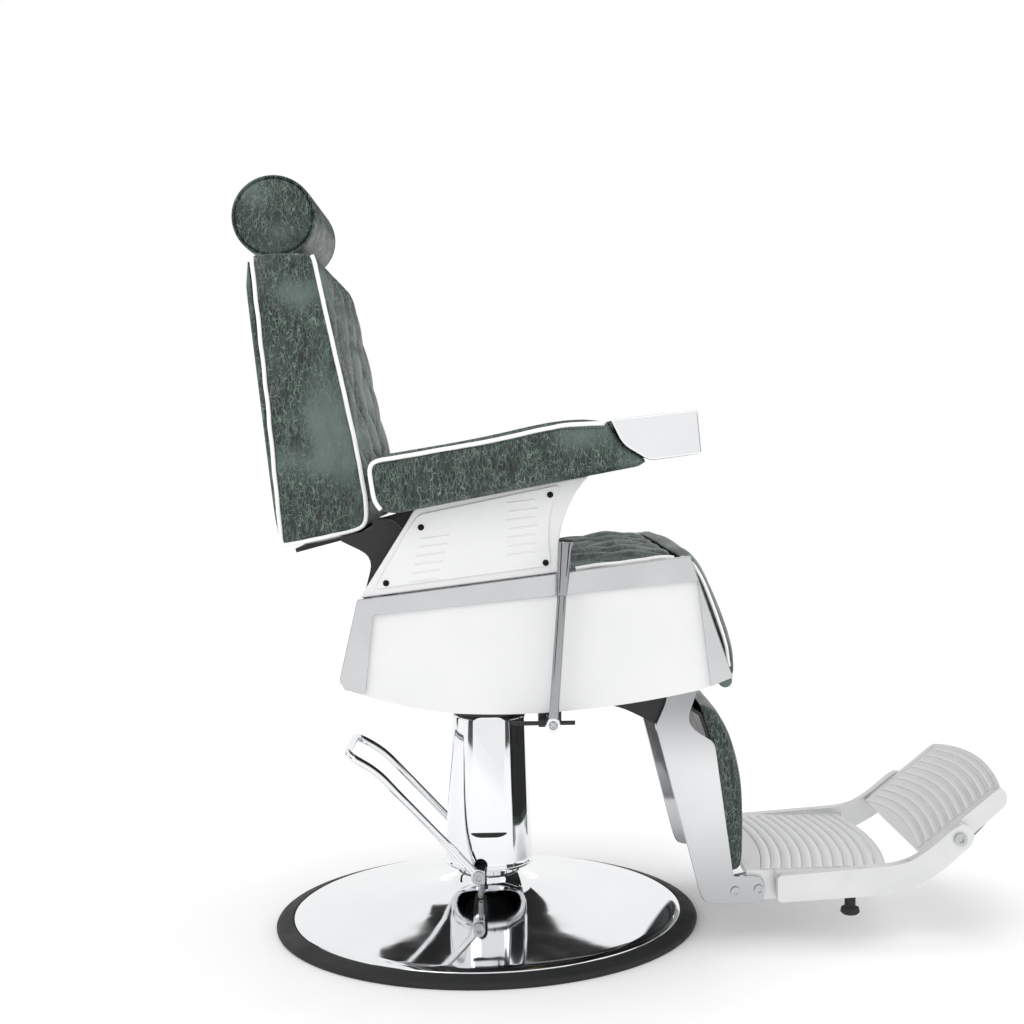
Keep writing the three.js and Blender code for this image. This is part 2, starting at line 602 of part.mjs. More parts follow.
function buildBack() {
  const { rearTop, frontTop, frontMiddle, frontBottom, rearBottom } = BACK;
  const half = BACK_HALF_WIDTH;
  const { x, z } = RECLINE_PIVOT;

  const arm = [
    [x - 19, z - 4, 14], [x, z - 20, 14], [x + 20, z, 14], [x + 22, z + 40, 40], [x + 36, z + 84, 8],
    [x + 19, z + 101, 8], [x - 7.5, z + 101, 4], [x - 8, z + 88], [frontBottom[0] - 10, frontBottom[1] - 10],
    [rearBottom[0] + 76, rearBottom[1] + 16.5], [rearBottom[0] + 77, rearBottom[1] + 11, 3], [x - 6, z + 50, 20],
  ];
  const armInner = HINGE_ARM_OUTER - HINGE_ARM_THICKNESS;
  const underPlate = [
    [frontBottom[0] - 12, frontBottom[1] - 10.6], [rearBottom[0] + 8, rearBottom[1] - 3.5],
    [rearBottom[0] + 9.5, rearBottom[1] - 9], [frontBottom[0] - 10.5, frontBottom[1] - 16.2],
  ];
  const webbing = [
    [frontBottom[0] - 12, frontBottom[1] - 10.6], [rearBottom[0] + 78, rearBottom[1] + 16],
    [rearBottom[0] + 79.5, rearBottom[1] + 10.5], [frontBottom[0] - 10.5, frontBottom[1] - 16.2],
  ];
  const horn = [
    [x - 12, z, 2], [x + 7, z, 2], [HORN_TIP.x + 8, HORN_TIP.z - 2, 6], [HORN_TIP.x, HORN_TIP.z - 8, 4],
    [HORN_TIP.x - 8, HORN_TIP.z - 2, 6],
  ];
  const pinHole = (side) => barY(x, z, RECLINE_PIN_RADIUS + GAP, side * (armInner - 5), side * (half + 10));
  add('back_frame', cut(join(
    plate(arm, armInner, HINGE_ARM_OUTER), plate(arm, -armInner, -HINGE_ARM_OUTER),
    plate(underPlate, -BACK_PLATE_HALF, BACK_PLATE_HALF),
    plate(webbing, armInner + 1, BACK_PLATE_HALF - 1), plate(webbing, -armInner - 1, 1 - BACK_PLATE_HALF),
    barY(x, z, 12, -armInner - 1, armInner + 1),
    plate(horn, -5, 5), barY(HORN_TIP.x, HORN_TIP.z, HORN_PIN_RADIUS, -15, 15),
  ), pinHole(1), pinHole(-1)), BLACK_STEEL);

  const slot = postBar(POST_DROP + 16, 2 * RUNNING);
  add('back_body', cut(plate([
    [...rearTop, 8], [...frontTop, 10], [...frontMiddle, 40], [...frontBottom, 16], [...rearBottom, 5],
  ].reverse(), -half, half), slot), GREEN_LEATHER);

  const front = (share, proud) => [
    frontMiddle[0] + (frontTop[0] - frontMiddle[0]) * share + proud,
    frontMiddle[1] + (frontTop[1] - frontMiddle[1]) * share,
  ];
  add('back_cushion', plate([
    front(0.94, 0.6), front(0, 1.2), [-163.4, 645], [-157, 642, 4], [-152, 662, 10], [-158, 714, 10],
    front(0.4, 12), front(0.75, 10), front(0.92, 5),
  ].reverse(), -half + 12, half - 12), GREEN_LEATHER);
  const rear = (height, proud) => [
    rearTop[0] + (rearTop[1] - height) * (rearBottom[0] - rearTop[0]) / (rearTop[1] - rearBottom[1]) - proud,
    height,
  ];
  add('back_panel', plate([
    rear(rearTop[1] - 12, 0.5), rear(rearBottom[1] + 12, 0.5), [...rear(rearBottom[1] + 16, 8), 3],
    [...rear(rearTop[1] - 16, 8), 3],
  ], -half + 6, half - 6), GREEN_LEATHER);
}

// ---- headrest ----------------------------------------------------------------------------------
const HEADREST = { x: -307, z: BACK_TOP + HEADREST_RADIUS + 4 };

// A bar on the headrest's line, which leans back by BACK_LEAN through the roll's centre. Its middle is drop
// below the roll's centre, and it is larger than the post by spare all round.
function postBar(drop, spare) {
  return new THREE.BoxGeometry(POST_THICKNESS + 2 * spare, POST_WIDTH + 2 * spare, POST_LENGTH)
    .translate(0, 0, -drop)
    .rotateY(-radians(BACK_LEAN))
    .translate(HEADREST.x, 0, HEADREST.z);
}

function buildHeadrest() {
  add('headrest_post', postBar(POST_DROP, 0), CHROME);
  const slot = postBar(POST_DROP - GAP, RUNNING);
  const endRound = 12;
  const profile = [
    [0, -HEADREST_HALF_WIDTH], [HEADREST_RADIUS - endRound, -HEADREST_HALF_WIDTH + 1],
    [HEADREST_RADIUS - 3, -HEADREST_HALF_WIDTH + 5], [HEADREST_RADIUS, -HEADREST_HALF_WIDTH + endRound],
  ];
  const other = profile.map(([r, y]) => [r, -y]).reverse();
  const roll = turned([...profile, ...other], 40).rotateX(Math.PI / 2)
    .translate(HEADREST.x, 0, HEADREST.z);
  add('headrest_roll', cut(roll, slot), GREEN_LEATHER);
}

// ---- recline lever -------------------------------------------------------------------------------
function buildLever() {
  const { x, z } = LEVER_PIVOT;
  const along = new THREE.Vector3(LEVER_TOP.x - x, 0, LEVER_TOP.z - z);
  const length = along.length();
  const tilt = Math.atan2(along.x, along.z);
  const shaftLength = length * 0.7;
  const onLever = (geometry) => geometry.rotateY(tilt).translate(x, LEVER_Y, z);
  const shaft = turned([[0, 0], [LEVER_SHAFT_RADIUS + 1, 0], [LEVER_SHAFT_RADIUS, shaftLength * 0.5],
    [LEVER_SHAFT_RADIUS, shaftLength], [0, shaftLength]], 20);
  const eye = barY(x, z, 10, LEVER_Y - 5, LEVER_Y + 6);
  const crossBore = barY(x, z, LEVER_SHAFT_RADIUS + GAP, LEVER_Y - 9, LEVER_Y + 20);
  add('lever_shaft', cut(join(onLever(shaft), eye), crossBore), CHROME);
  const gripFoot = shaftLength + GAP;
  add('lever_grip', onLever(turned([
    [0, gripFoot], [LEVER_SHAFT_RADIUS + 0.5, gripFoot], [9, gripFoot + 22], [10, length - 4],
    [9, length], [0, length],
  ], 24)), CHROME);
  add('lever_cross_shaft', barY(x, z, LEVER_SHAFT_RADIUS, LEVER_Y - 7, -60), BLACK_STEEL);

  const bore = barY(x, z, LEVER_SHAFT_RADIUS + RUNNING, -HOUSING_HALF_WIDTH - 30, -100);
  const hanger = box(x - 18, x + 14, -CHEEK_OUTER, -CHEEK_INNER, z - 12, SEAT_PLATE_TOP - GAP);
  const stop = box(x - 18, x - 9, -PANEL_INNER + 2, -CHEEK_INNER, z - 10, z + 9);
  add('lever_bracket', cut(join(hanger, stop), bore), BLACK_STEEL);
  const crankY = LEVER_Y + 18;
  const rod = barX(x - 56, x + 30, crankY, z - 1, 3, 12);
  const crank = barY(x, z, LEVER_SHAFT_RADIUS + 4, crankY - 6, crankY + 6);
  const crankBore = barY(x, z, LEVER_SHAFT_RADIUS + GAP, crankY - 12, crankY + 12);
  add('release_rod', cut(join(crank, rod), crankBore), BLACK_STEEL);
}

// ---- footrest ----------------------------------------------------------------------------------
const LEG_SCREWS = [[355, 79], [389, 81]];

function buildLegs() {
  const half = LEG_HALF_WIDTH - GAP;
  const ceiling = SEAT_PLATE_TOP - GAP;
  const wing = [
    [150, ceiling], [136, 366, 4], [134, 356, 4], [190, 346, 20], [238, 322, 6], [262, 318, 6], [286, 352, 6],
    [286, ceiling],
  ];
  add('foot_carrier', join(
    plate(wing, half - 8, half), plate(wing, -half, -half + 8),
    box(150, 286, -half + 1, half - 1, ceiling - 8, ceiling),
  ), BLACK_STEEL);

  const bracket = [
    [246, 392, 4], [259, 366, 20], [238, 318, 5], [243, 307, 5], [290, 127], [305, 70, 22], [316, 62, 14],
    [396, 60, 14], [398, 100, 16], [352, 101, 4], [325, 294, 8], [295, 313, 12], [286, 330, 12],
    [297, 362, 20], [308, 392, 4],
  ];
  for (const [label, side] of SIDES) {
    const holes = LEG_SCREWS.map(([x, z]) => barY(x, z, FOOT_SCREW_RADIUS + GAP,
      side * (LEG_HALF_WIDTH - 5), side * (LEG_OUTER + 5), 16));
    add(`leg_bracket_${label}`, cut(plate(bracket, side * LEG_HALF_WIDTH, side * LEG_OUTER, 5), ...holes),
      CHROME);
    LEG_SCREWS.forEach(([x, z], i) => add(`leg_screw_${label}_${i + 1}`,
      socketScrew(x, z, side, LEG_OUTER + GAP, FOOT_SCREW_RADIUS, LEG_THICKNESS + 8), BRIGHT_STEEL));
  }

  add('calf_board', plate([
    [292, 344], [306, 336], [320, 296], [327, 240], [331, 118], [327, 118], [323, 238], [316, 293],
    [302, 333], [290, 340],
  ], -half, half), BLACK_STEEL);
  add('calf_pad', plate([
    [307.5, 337], [303, 352, 4], [330, 338, 10], [352, 300, 30], [368, 240, 30], [369, 180, 30],
    [364, 104, 8], [333, 100, 4], [331.6, 120], [327.6, 240], [320.6, 297],
  ], -half + 2, half - 2, 6), GREEN_LEATHER);
}

function buildFootplate() {
  const top = 107;
  const bottom = top - FOOTPLATE_THICKNESS;
  const inner = LEG_HALF_WIDTH - GAP;
  const reach = RAIL_INNER + 2;
  const floorPlan = new THREE.Shape();
  floorPlan.moveTo(372, -inner);
  floorPlan.lineTo(412, -inner);
  floorPlan.lineTo(414, -reach);
  floorPlan.lineTo(588, -reach);
  floorPlan.quadraticCurveTo(546, 0, 588, reach);
  floorPlan.lineTo(414, reach);
  floorPlan.lineTo(412, inner);
  floorPlan.lineTo(372, inner);
  floorPlan.closePath();
  const floor = new THREE.ExtrudeGeometry(floorPlan, {
    depth: FOOTPLATE_THICKNESS, bevelEnabled: false, curveSegments: 14,
  }).translate(0, 0, bottom);

  const rail = [
    [413, 105, 6], [547, 114, 60], [600, 118, 30], [634, 138, 20], [669, 167, 4], [686, 176, 8],
    [702, 163, 9], [699, 146, 9], [652, 106, 20], [604, 79, 30], [560, 74, 60], [413, 67, 8],
  ];
  const lug = [[345, 62, 6], [345, 96, 6], [374, bottom + 4], [420, bottom + 4], [420, 66, 6]];
  const sideParts = [];
  const bores = [];
  for (const [, side] of SIDES) {
    sideParts.push(plate(rail, side * RAIL_INNER, side * RAIL_OUTER, 5));
    sideParts.push(plate(lug, side * (inner - 13), side * inner));
    for (const [x, z] of LEG_SCREWS) {
      bores.push(barY(x, z, FOOT_SCREW_RADIUS + GAP, side * (inner - 20), side * (inner + 3), 16));
    }
    bores.push(barY(FLIP_PIVOT.x, FLIP_PIVOT.z, FLIP_SCREW_RADIUS + GAP, side * (RAIL_INNER - 5),
      side * (RAIL_OUTER + 5)));
  }
  add('foot_casting', cut(join(floor, ...sideParts), ...bores), CAST_ALUMINIUM);

  for (const [label, side] of SIDES) {
    const foot = turned([
      [0, 47], [11, 47], [14, 50], [13, 56], [8, 58], [8, 71.5], [0, 71.5],
    ], 24);
    add(`rubber_foot_${label}`, foot.translate(520, side * (RAIL_INNER + RAIL_WIDTH / 2), 0), BLACK_RUBBER);
  }
}

// The flip plate is drawn level about its own pivot, tip towards +X, and turned up to its rest angle.
function buildFlipPlate() {
  const swing = new THREE.Group();
  swing.position.set(FLIP_PIVOT.x, 0, FLIP_PIVOT.z);
  swing.rotation.y = -radians(FLIP_ANGLE);
  chair.add(swing);

  const half = FLIP_HALF_WIDTH;
  const rear = -57;
  const tipSide = 94;
  const tipMiddle = 116;
  const plan = new THREE.Shape();
  plan.moveTo(rear, -half + 4);
  plan.lineTo(tipSide, -half + 4);
  plan.quadraticCurveTo(tipMiddle * 2 - tipSide, 0, tipSide, half - 4);
  plan.lineTo(rear, half - 4);
  plan.closePath();
  const tread = new THREE.ExtrudeGeometry(plan, { depth: 7, bevelEnabled: false, curveSegments: 14 })
    .translate(0, 0, 7);
  const rail = [
    [rear + 8, 14, 6], [tipSide, 15, 10], [tipSide + 4, 4, 8], [tipSide - 6, -11, 10], [0, -15, 10],
    [rear + 22, -13, 12], [rear, 2, 8],
  ];
  const sideRail = (side) => plate(rail, side * (half - 15), side * half);
  const bore = (side) => barY(0, 0, FLIP_SCREW_RADIUS + GAP, side * (half - 20), side * (half + 5));
  add('flip_plate', cut(join(tread, sideRail(1), sideRail(-1)), bore(1), bore(-1)), CAST_ALUMINIUM, swing);

  add('flip_pad', plate([
    [rear + 6, 6.4, 3], [rear + 6, -4, 8], [rear + 24, -27, 24], [16, -36, 40], [70, -26, 20],
    [tipSide + 1, -6, 10], [tipSide, 6.4, 3],
  ], -half + 16, half - 16, 6), GREEN_LEATHER, swing);

  for (const [label, side] of SIDES) {
    add(`flip_screw_${label}`, socketScrew(0, 0, side, RAIL_OUTER + GAP, FLIP_SCREW_RADIUS,
      RAIL_WIDTH + 12), BRIGHT_STEEL, swing);
  }
}

buildBase();
buildPump();
buildLift();
buildPedal();
buildSeatFrame();
buildHousingSides();
buildArms();
buildRecline();
buildBack();
buildHeadrest();
buildLever();
buildLegs();
buildFootplate();
buildFlipPlate();

export default chair;
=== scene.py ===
# A hydraulic barber chair: chromed round base and column, white-sided seat with chrome bands,
# reclining wedge back with a roll headrest, padded arms and a cast footrest with a flip-over plate.
from math import atan2, cos, exp, pi, radians, sin

import bmesh
import bpy
from mathutils import Matrix, Vector
from mathutils.bvhtree import BVHTree


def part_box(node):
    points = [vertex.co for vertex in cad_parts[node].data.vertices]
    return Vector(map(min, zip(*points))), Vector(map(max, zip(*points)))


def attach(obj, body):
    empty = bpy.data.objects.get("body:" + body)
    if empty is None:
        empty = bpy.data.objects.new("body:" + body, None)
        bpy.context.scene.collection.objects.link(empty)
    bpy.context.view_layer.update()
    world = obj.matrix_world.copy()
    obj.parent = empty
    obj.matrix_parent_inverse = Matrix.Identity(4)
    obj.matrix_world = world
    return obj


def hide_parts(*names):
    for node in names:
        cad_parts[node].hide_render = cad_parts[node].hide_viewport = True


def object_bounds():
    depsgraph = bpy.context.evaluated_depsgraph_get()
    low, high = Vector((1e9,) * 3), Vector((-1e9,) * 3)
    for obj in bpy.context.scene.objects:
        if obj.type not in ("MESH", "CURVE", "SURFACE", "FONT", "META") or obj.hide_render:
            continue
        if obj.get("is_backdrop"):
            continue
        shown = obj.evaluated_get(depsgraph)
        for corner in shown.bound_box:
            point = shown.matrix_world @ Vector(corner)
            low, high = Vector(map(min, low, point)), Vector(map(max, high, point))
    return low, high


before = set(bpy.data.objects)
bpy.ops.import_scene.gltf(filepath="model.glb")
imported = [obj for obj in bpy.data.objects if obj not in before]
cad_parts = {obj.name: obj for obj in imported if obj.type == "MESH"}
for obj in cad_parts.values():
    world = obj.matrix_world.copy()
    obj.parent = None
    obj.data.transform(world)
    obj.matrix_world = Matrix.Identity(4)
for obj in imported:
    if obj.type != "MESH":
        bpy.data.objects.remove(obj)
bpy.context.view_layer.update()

scene = bpy.context.scene
MM = 0.001
UPRIGHT = Matrix.Rotation(radians(90), 4, "X")
SIDES = ((1, "left"), (-1, "right"))


# ---- Studio ----
# A white sweep of floor under even light. Large soft boxes give the chrome its bright fields, and
# black flags and grey cards beside the set give it its dark edges.

def linear(code):
    """A six-digit sRGB hex colour as linear red, green, blue and full alpha."""
    parts = [int(code[i:i + 2], 16) / 255 for i in (0, 2, 4)]
    return tuple(c / 12.92 if c <= 0.04045 else ((c + 0.055) / 1.055) ** 2.4 for c in parts) + (1.0,)


def add_node(tree, kind, inputs=None, **settings):
    """One node with its settings, and a value or a link for each input named."""
    node = tree.nodes.new(kind)
    for name, value in settings.items():
        setattr(node, name, value)
    for name, value in (inputs or {}).items():
        socket = node.inputs[name]
        if isinstance(value, bpy.types.NodeSocket):
            tree.links.new(value, socket)
        else:
            socket.default_value = value
    return node


def new_material(name, **sockets):
    """A material with one Principled shader, and constant values set on its sockets."""
    material = bpy.data.materials.new(name)
    material.use_nodes = True
    tree = material.node_tree
    shader = tree.nodes["Principled BSDF"]
    for socket, value in sockets.items():
        shader.inputs[socket.replace("_", " ")].default_value = value
    return material, tree, shader


def object_point(tree):
    return add_node(tree, "ShaderNodeTexCoord").outputs["Object"]


def noise(tree, point, size_mm, detail=3.0, **more):
    """Noise whose blotches are about size_mm across."""
    inputs = {"Vector": point, "Scale": 1000 / size_mm, "Detail": detail, **more}
    return add_node(tree, "ShaderNodeTexNoise", inputs).outputs["Fac"]


def spread(tree, value, low, high, to_low, to_high, smooth=False):
    """value stretched from low..high to to_low..to_high, held at the ends."""
    kind = "SMOOTHSTEP" if smooth else "LINEAR"
    return add_node(tree, "ShaderNodeMapRange", {
        "Value": value, "From Min": low, "From Max": high, "To Min": to_low, "To Max": to_high,
    }, interpolation_type=kind).outputs["Result"]


def mixed(tree, factor, first, second):
    """The colour first where factor is 0, and second where it is 1."""
    return add_node(tree, "ShaderNodeMix", {0: factor, 6: first, 7: second}, data_type="RGBA").outputs[2]


def tinted(tree, shader, factor, first, second):
    """The shader coloured first where factor is 0, and second where it is 1."""
    tree.links.new(mixed(tree, factor, linear(first), linear(second)), shader.inputs["Base Color"])


def roughened(tree, shader, value, smooth_end, rough_end, low=0.3, high=0.7):
    """The shader's roughness, from smooth_end to rough_end as value goes from low to high."""
    tree.links.new(spread(tree, value, low, high, smooth_end, rough_end), shader.inputs["Roughness"])


def bumped(tree, shader, height, depth_mm, strength=1.0, onto=None):
    """The shader's normal tipped by a height, whose full step is depth_mm."""
    inputs = {"Height": height, "Distance": depth_mm * MM, "Strength": strength}
    if onto is not None:
        inputs["Normal"] = onto
    bump = add_node(tree, "ShaderNodeBump", inputs).outputs["Normal"]
    tree.links.new(bump, shader.inputs["Normal"])
    return bump


def painted_sweep():
    """Matt white paint on a studio floor, with the faint mottle of a roller."""
    material, tree, shader = new_material("matt_white_sweep", Roughness=0.75, Emission_Strength=0.12)
    mottle = noise(tree, object_point(tree), 60)
    tone = mixed(tree, mottle, linear("f4f4f4"), linear("fafafa"))
    tree.links.new(tone, shader.inputs["Base Color"])
    tree.links.new(tone, shader.inputs["Emission Color"])
    return material


def link_mesh(name, bm, material=None):
    """A new object from a finished bmesh."""
    mesh = bpy.data.meshes.new(name)
    bm.to_mesh(mesh)
    bm.free()
    made = bpy.data.objects.new(name, mesh)
    scene.collection.objects.link(made)
    if material:
        mesh.materials.append(material)
    return made


floor_bm = bmesh.new()
bmesh.ops.create_grid(floor_bm, x_segments=1, y_segments=1, size=30)
floor = link_mesh("studio_floor", floor_bm, painted_sweep())
floor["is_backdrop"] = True


def studio_card(name, centre, size, turn, colour):
    """A flat card that only reflections see, in black or grey."""
    bm = bmesh.new()
    bmesh.ops.create_grid(bm, x_segments=1, y_segments=1, size=0.5)
    place = Matrix.Translation(centre) @ Matrix.Rotation(turn[1], 4, "Z") @ Matrix.Rotation(turn[0], 4, "X")
    bmesh.ops.transform(bm, matrix=place @ Matrix.Diagonal((*size, 1, 1)), verts=bm.verts)
    material, tree, shader = new_material(name, Roughness=0.9)
    cloth = noise(tree, object_point(tree), 40)
    tinted(tree, shader, cloth, colour, "050505")
    card = link_mesh(name, bm, material)
    card.visible_camera = False
    card.visible_diffuse = False
    card.visible_shadow = False
    card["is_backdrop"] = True


studio_card("black_flag_above", (0.25, 2.3, 2.6), (1.5, 2.5), (radians(90), 0), "060606")
studio_card("black_flag_left", (-2.5, 1.0, 0.7), (0.45, 1.9), (radians(90), radians(60)), "0a0a0a")
studio_card("black_flag_right", (2.7, 0.9, 0.7), (0.3, 1.7), (radians(90), radians(-65)), "0a0a0a")
studio_card("grey_card_left", (-2.6, -1.8, 0.8), (1.1, 2.4), (radians(90), radians(-55)), "5a5a5a")
studio_card("grey_card_right", (2.6, -1.8, 0.8), (1.1, 2.4), (radians(90), radians(55)), "5a5a5a")

world = bpy.data.worlds.new("studio_white")
world.use_nodes = True
world.node_tree.nodes["Background"].inputs["Color"].default_value = linear("ffffff")
world.node_tree.nodes["Background"].inputs["Strength"].default_value = 1.0
scene.world = world
scene.view_settings.view_transform = "Standard"


def soft_box(name, place, aim, size, watts):
    """A square area lamp pointed at aim."""
    lamp = bpy.data.lights.new(name, "AREA")
    lamp.shape = "SQUARE"
    lamp.size = size
    lamp.energy = watts
    made = bpy.data.objects.new(name, lamp)
    scene.collection.objects.link(made)
    made.location = place
    made.rotation_euler = (Vector(aim) - Vector(place)).to_track_quat("-Z", "Y").to_euler()


soft_box("key_box", (-1.8, -2.2, 2.6), (0, 0, 0.6), 1.6, 16)
soft_box("fill_box", (2.6, -1.6, 1.8), (0.1, 0, 0.5), 1.4, 6)
soft_box("top_box", (0.2, 0.6, 3.2), (0.1, 0, 0.3), 1.8, 8)

camera = bpy.data.objects.new("camera", bpy.data.cameras.new("camera"))
scene.collection.objects.link(camera)
camera.location = (0.012, -2.31, 0.72)
camera.rotation_euler = (radians(90), 0, radians(-4.308))
camera.data.lens = 52.734
camera.data.sensor_width = 36
camera.data.shift_x = -0.0957
camera.data.shift_y = -0.0635
camera.data.clip_end = 60
scene.camera = camera


# ---- Base ----
# A chromed pressed-steel dish, domed up to the column, over an iron ballast plate. A moulded
# rubber ring is stretched round the rim and meets the floor.

def half_width_of(node):
    """How far a CAD node that straddles the middle reaches to the side, in mm."""
    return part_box(node)[1].y / MM


def settled(made, body, nodes=()):
    """A finished piece put on its CAD body and the CAD nodes it stands for."""
    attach(made, body)
    if nodes:
        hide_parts(*nodes)
    return made


def with_arcs(points, closed=True, steps=6):
    """Corners (a, b, radius) of an outline, with each radius drawn as a smooth bend."""
    made = []
    count = len(points)
    for i, point in enumerate(points):
        here = Vector(point[:2])
        radius = point[2] if len(point) > 2 else 0
        if not radius or (not closed and i in (0, count - 1)):
            made.append(here)
            continue
        ends = []
        for other in (points[i - 1], points[(i + 1) % count]):
            way = Vector(other[:2]) - here
            ends.append(here + way.normalized() * min(radius, way.length * 0.49))
        for k in range(steps + 1):
            t = k / steps
            made.append(ends[0] * (1 - t) ** 2 + here * 2 * t * (1 - t) + ends[1] * t * t)
    return made


def smoothed(made, angle=35):
    """Smooth shading, kept sharp at edges steeper than angle."""
    made.data.shade_smooth()
    made.data.set_sharp_from_angle(angle=radians(angle))
    return made


def turned(name, profile, material, segments=128, closed=True, place=None):
    """A piece turned about Z from an outline of (radius, height) corners in mm."""
    bm = bmesh.new()
    corners = [bm.verts.new((p.x * MM, 0, p.y * MM)) for p in with_arcs(profile, closed)]
    pairs = list(zip(corners, corners[1:]))
    if closed:
        pairs.append((corners[-1], corners[0]))
    edges = [bm.edges.new(pair) for pair in pairs]
    bmesh.ops.spin(bm, geom=corners + edges, axis=(0, 0, 1), cent=(0, 0, 0), angle=2 * pi, steps=segments)
    bmesh.ops.remove_doubles(bm, verts=bm.verts, dist=1e-6)
    bmesh.ops.recalc_face_normals(bm, faces=bm.faces)
    if place is not None:
        bmesh.ops.transform(bm, matrix=place, verts=bm.verts)
    return smoothed(link_mesh(name, bm, material), 30)


def chromed_steel():
    """Chrome plate over buffed steel: a hard mirror with the faintest polishing haze."""
    material, tree, shader = new_material("chromed_steel", Metallic=1.0)
    point = object_point(tree)
    roughened(tree, shader, noise(tree, point, 45, 4.0), 0.03, 0.085, 0.3, 0.75)
    tinted(tree, shader, noise(tree, point, 120), "e4e6e8", "f1f2f3")
    bumped(tree, shader, noise(tree, point, 55, 1.0), 0.12, 0.5)
    return material


def surface(name, blotch, tones, grain=None, rough=None, **sockets):
    """Two tones in blotches of (size, detail), a bumped grain of (size, detail, depth, strength) in mm, and
    roughness that follows the blotches."""
    material, tree, shader = new_material(name, **sockets)
    point = object_point(tree)
    cloud = noise(tree, point, *blotch)
    tinted(tree, shader, cloud, *tones)
    if rough:
        roughened(tree, shader, cloud, *rough)
    if grain:
        size, detail, depth, strength = grain
        bumped(tree, shader, noise(tree, point, size, detail), depth, strength)
    return material


def chrome_with_painted_reflection():
    """Chrome over flat plate and rod, with a painted reflection: paler in the middle of its height, greyer at
    the ends.
    """
    material, tree, shader = new_material("chrome_with_painted_reflection", Metallic=1.0)
    point = object_point(tree)
    height = add_node(tree, "ShaderNodeSeparateXYZ", {0: point}).outputs["Z"]
    drift = noise(tree, point, 140, 2.0)
    # Painted reflection: the colour follows height above the floor, pale near 0.24 m and greyer below and
    # above.
    painted_reflection_low = mixed(tree, spread(tree, height, 0.05, 0.24, 0, 1, True), linear("b4b6b9"), linear("dedfe0"))
    tone = mixed(tree, spread(tree, height, 0.24, 0.37, 0, 1, True), painted_reflection_low, linear("96989b"))
    tone = mixed(tree, spread(tree, drift, 0.35, 0.7, 0, 0.3), tone, linear("b6b8ba"))
    tree.links.new(tone, shader.inputs["Base Color"])
    roughened(tree, shader, drift, 0.05, 0.12)
    bumped(tree, shader, noise(tree, point, 55, 1.0), 0.12, 0.5)
    return material


def dressed(material, bevel_mm, *names):
    """The named CAD nodes given their material, and their hard edges eased."""
    for name in names:
        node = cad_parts[name]
        node.data.materials.clear()
        node.data.materials.append(material)
        if bevel_mm:
            weld = node.modifiers.new("weld", "WELD")
            weld.merge_threshold = 0.01 * MM
            ease = node.modifiers.new("ease", "BEVEL")
            ease.width = bevel_mm * MM
            ease.segments = 2
            ease.limit_method = "ANGLE"
            ease.angle_limit = radians(40)
            ease.use_clamp_overlap = True


CHROME = chromed_steel()
CHROME_PAINTED_REFLECTION = chrome_with_painted_reflection()
# Black rubber from a blasted mould: matt, finely grained, a little dusty.
RUBBER = surface("moulded_rubber", (30, 5.0), ("1a1b1c", "2c2d2e"), (1.2, 2.0, 0.15, 0.6), (0.55, 0.75),
                 Specular_IOR_Level=0.35)
# Sand-cast iron under black paint: a soft orange-peel skin.
IRON = surface("painted_iron", (18, 3.0), ("242527", "303134"), (3.0, 3.0, 0.3, 0.6), Roughness=0.6)

base_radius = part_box("base_ring")[1].x / MM
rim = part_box("base_dish")[1].x / MM
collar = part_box("pump_cylinder")[1].x / MM + 0.4

settled(turned("rubber_edge_ring", [
    (rim + 0.3, 0.0), (base_radius - 2, 0.0, 2), (base_radius, 5, 3), (base_radius - 3.5, 9.5, 4),
    (rim + 3, 15.2, 2.5), (rim + 0.3, 13.5, 1),
], RUBBER, 160), "root", ["base_ring"])

settled(turned("chromed_dish", [
    (rim, 8.6, 0.5), (rim, 15, 1.5), (rim - 6, 18.2, 4), (rim - 13, 19.4, 3), (rim * 0.78, 25, 60),
    (rim * 0.56, 32, 60), (rim * 0.36, 40, 50), (rim * 0.23, 50, 30), (collar + 8, 62, 12),
    (collar + 3, 74, 4), (collar + 0.3, 74), (collar + 0.3, 66), (collar + 10, 47, 10), (rim * 0.3, 38, 20),
    (rim - 13, 16.6), (rim - 3, 14), (rim - 3, 8.6),
], CHROME, 192), "root", ["base_dish"])

dressed(IRON, 0, "base_plate")


# ---- Pump, ram and column cover ----
# A thick pump tube, black above its chromed foot, the ground ram that rises out of it, and a
# tapered chromed cover that rides up with the ram. The cover has a flat pressed into each side.

def turned_steel():
    """Bright turned steel: fine rings round the bar, a soft grey shine."""
    material, tree, shader = new_material("turned_steel", Metallic=1.0, Roughness=0.24)
    point = object_point(tree)
    tinted(tree, shader, noise(tree, point, 9), "a9acaf", "c6c8ca")
    rings = add_node(tree, "ShaderNodeTexWave", {"Vector": point, "Scale": 500.0, "Distortion": 0.6},
                     bands_direction="Z").outputs["Fac"]
    bumped(tree, shader, rings, 0.02, 0.5)
    return material


def baked(made):
    """made's mesh with its modifiers applied, and the modifiers taken off."""
    graph = bpy.context.evaluated_depsgraph_get()
    mesh = bpy.data.meshes.new_from_object(made.evaluated_get(graph), preserve_all_data_layers=True,
                                           depsgraph=graph)
    made.modifiers.clear()
    made.data = mesh
    return made


def cut_away(made, *tools):
    """made with each tool's solid taken out of it; the tools are used up."""
    for tool in tools:
        step = made.modifiers.new("cut", "BOOLEAN")
        step.operation = "DIFFERENCE"
        step.solver = "EXACT"
        step.object = tool
    baked(made)
    for tool in tools:
        bpy.data.objects.remove(tool)
    return made


def block(name, low, high, place=None):
    """A plain box between two corners in mm."""
    bm = bmesh.new()
    bmesh.ops.create_cube(bm, size=1)
    size = [(b - a) * MM for a, b in zip(low, high)]
    centre = [(a + b) / 2 * MM for a, b in zip(low, high)]
    bmesh.ops.transform(bm, matrix=Matrix.Translation(centre) @ Matrix.Diagonal((*size, 1)), verts=bm.verts)
    if place is not None:
        bmesh.ops.transform(bm, matrix=place, verts=bm.verts)
    return link_mesh(name, bm)


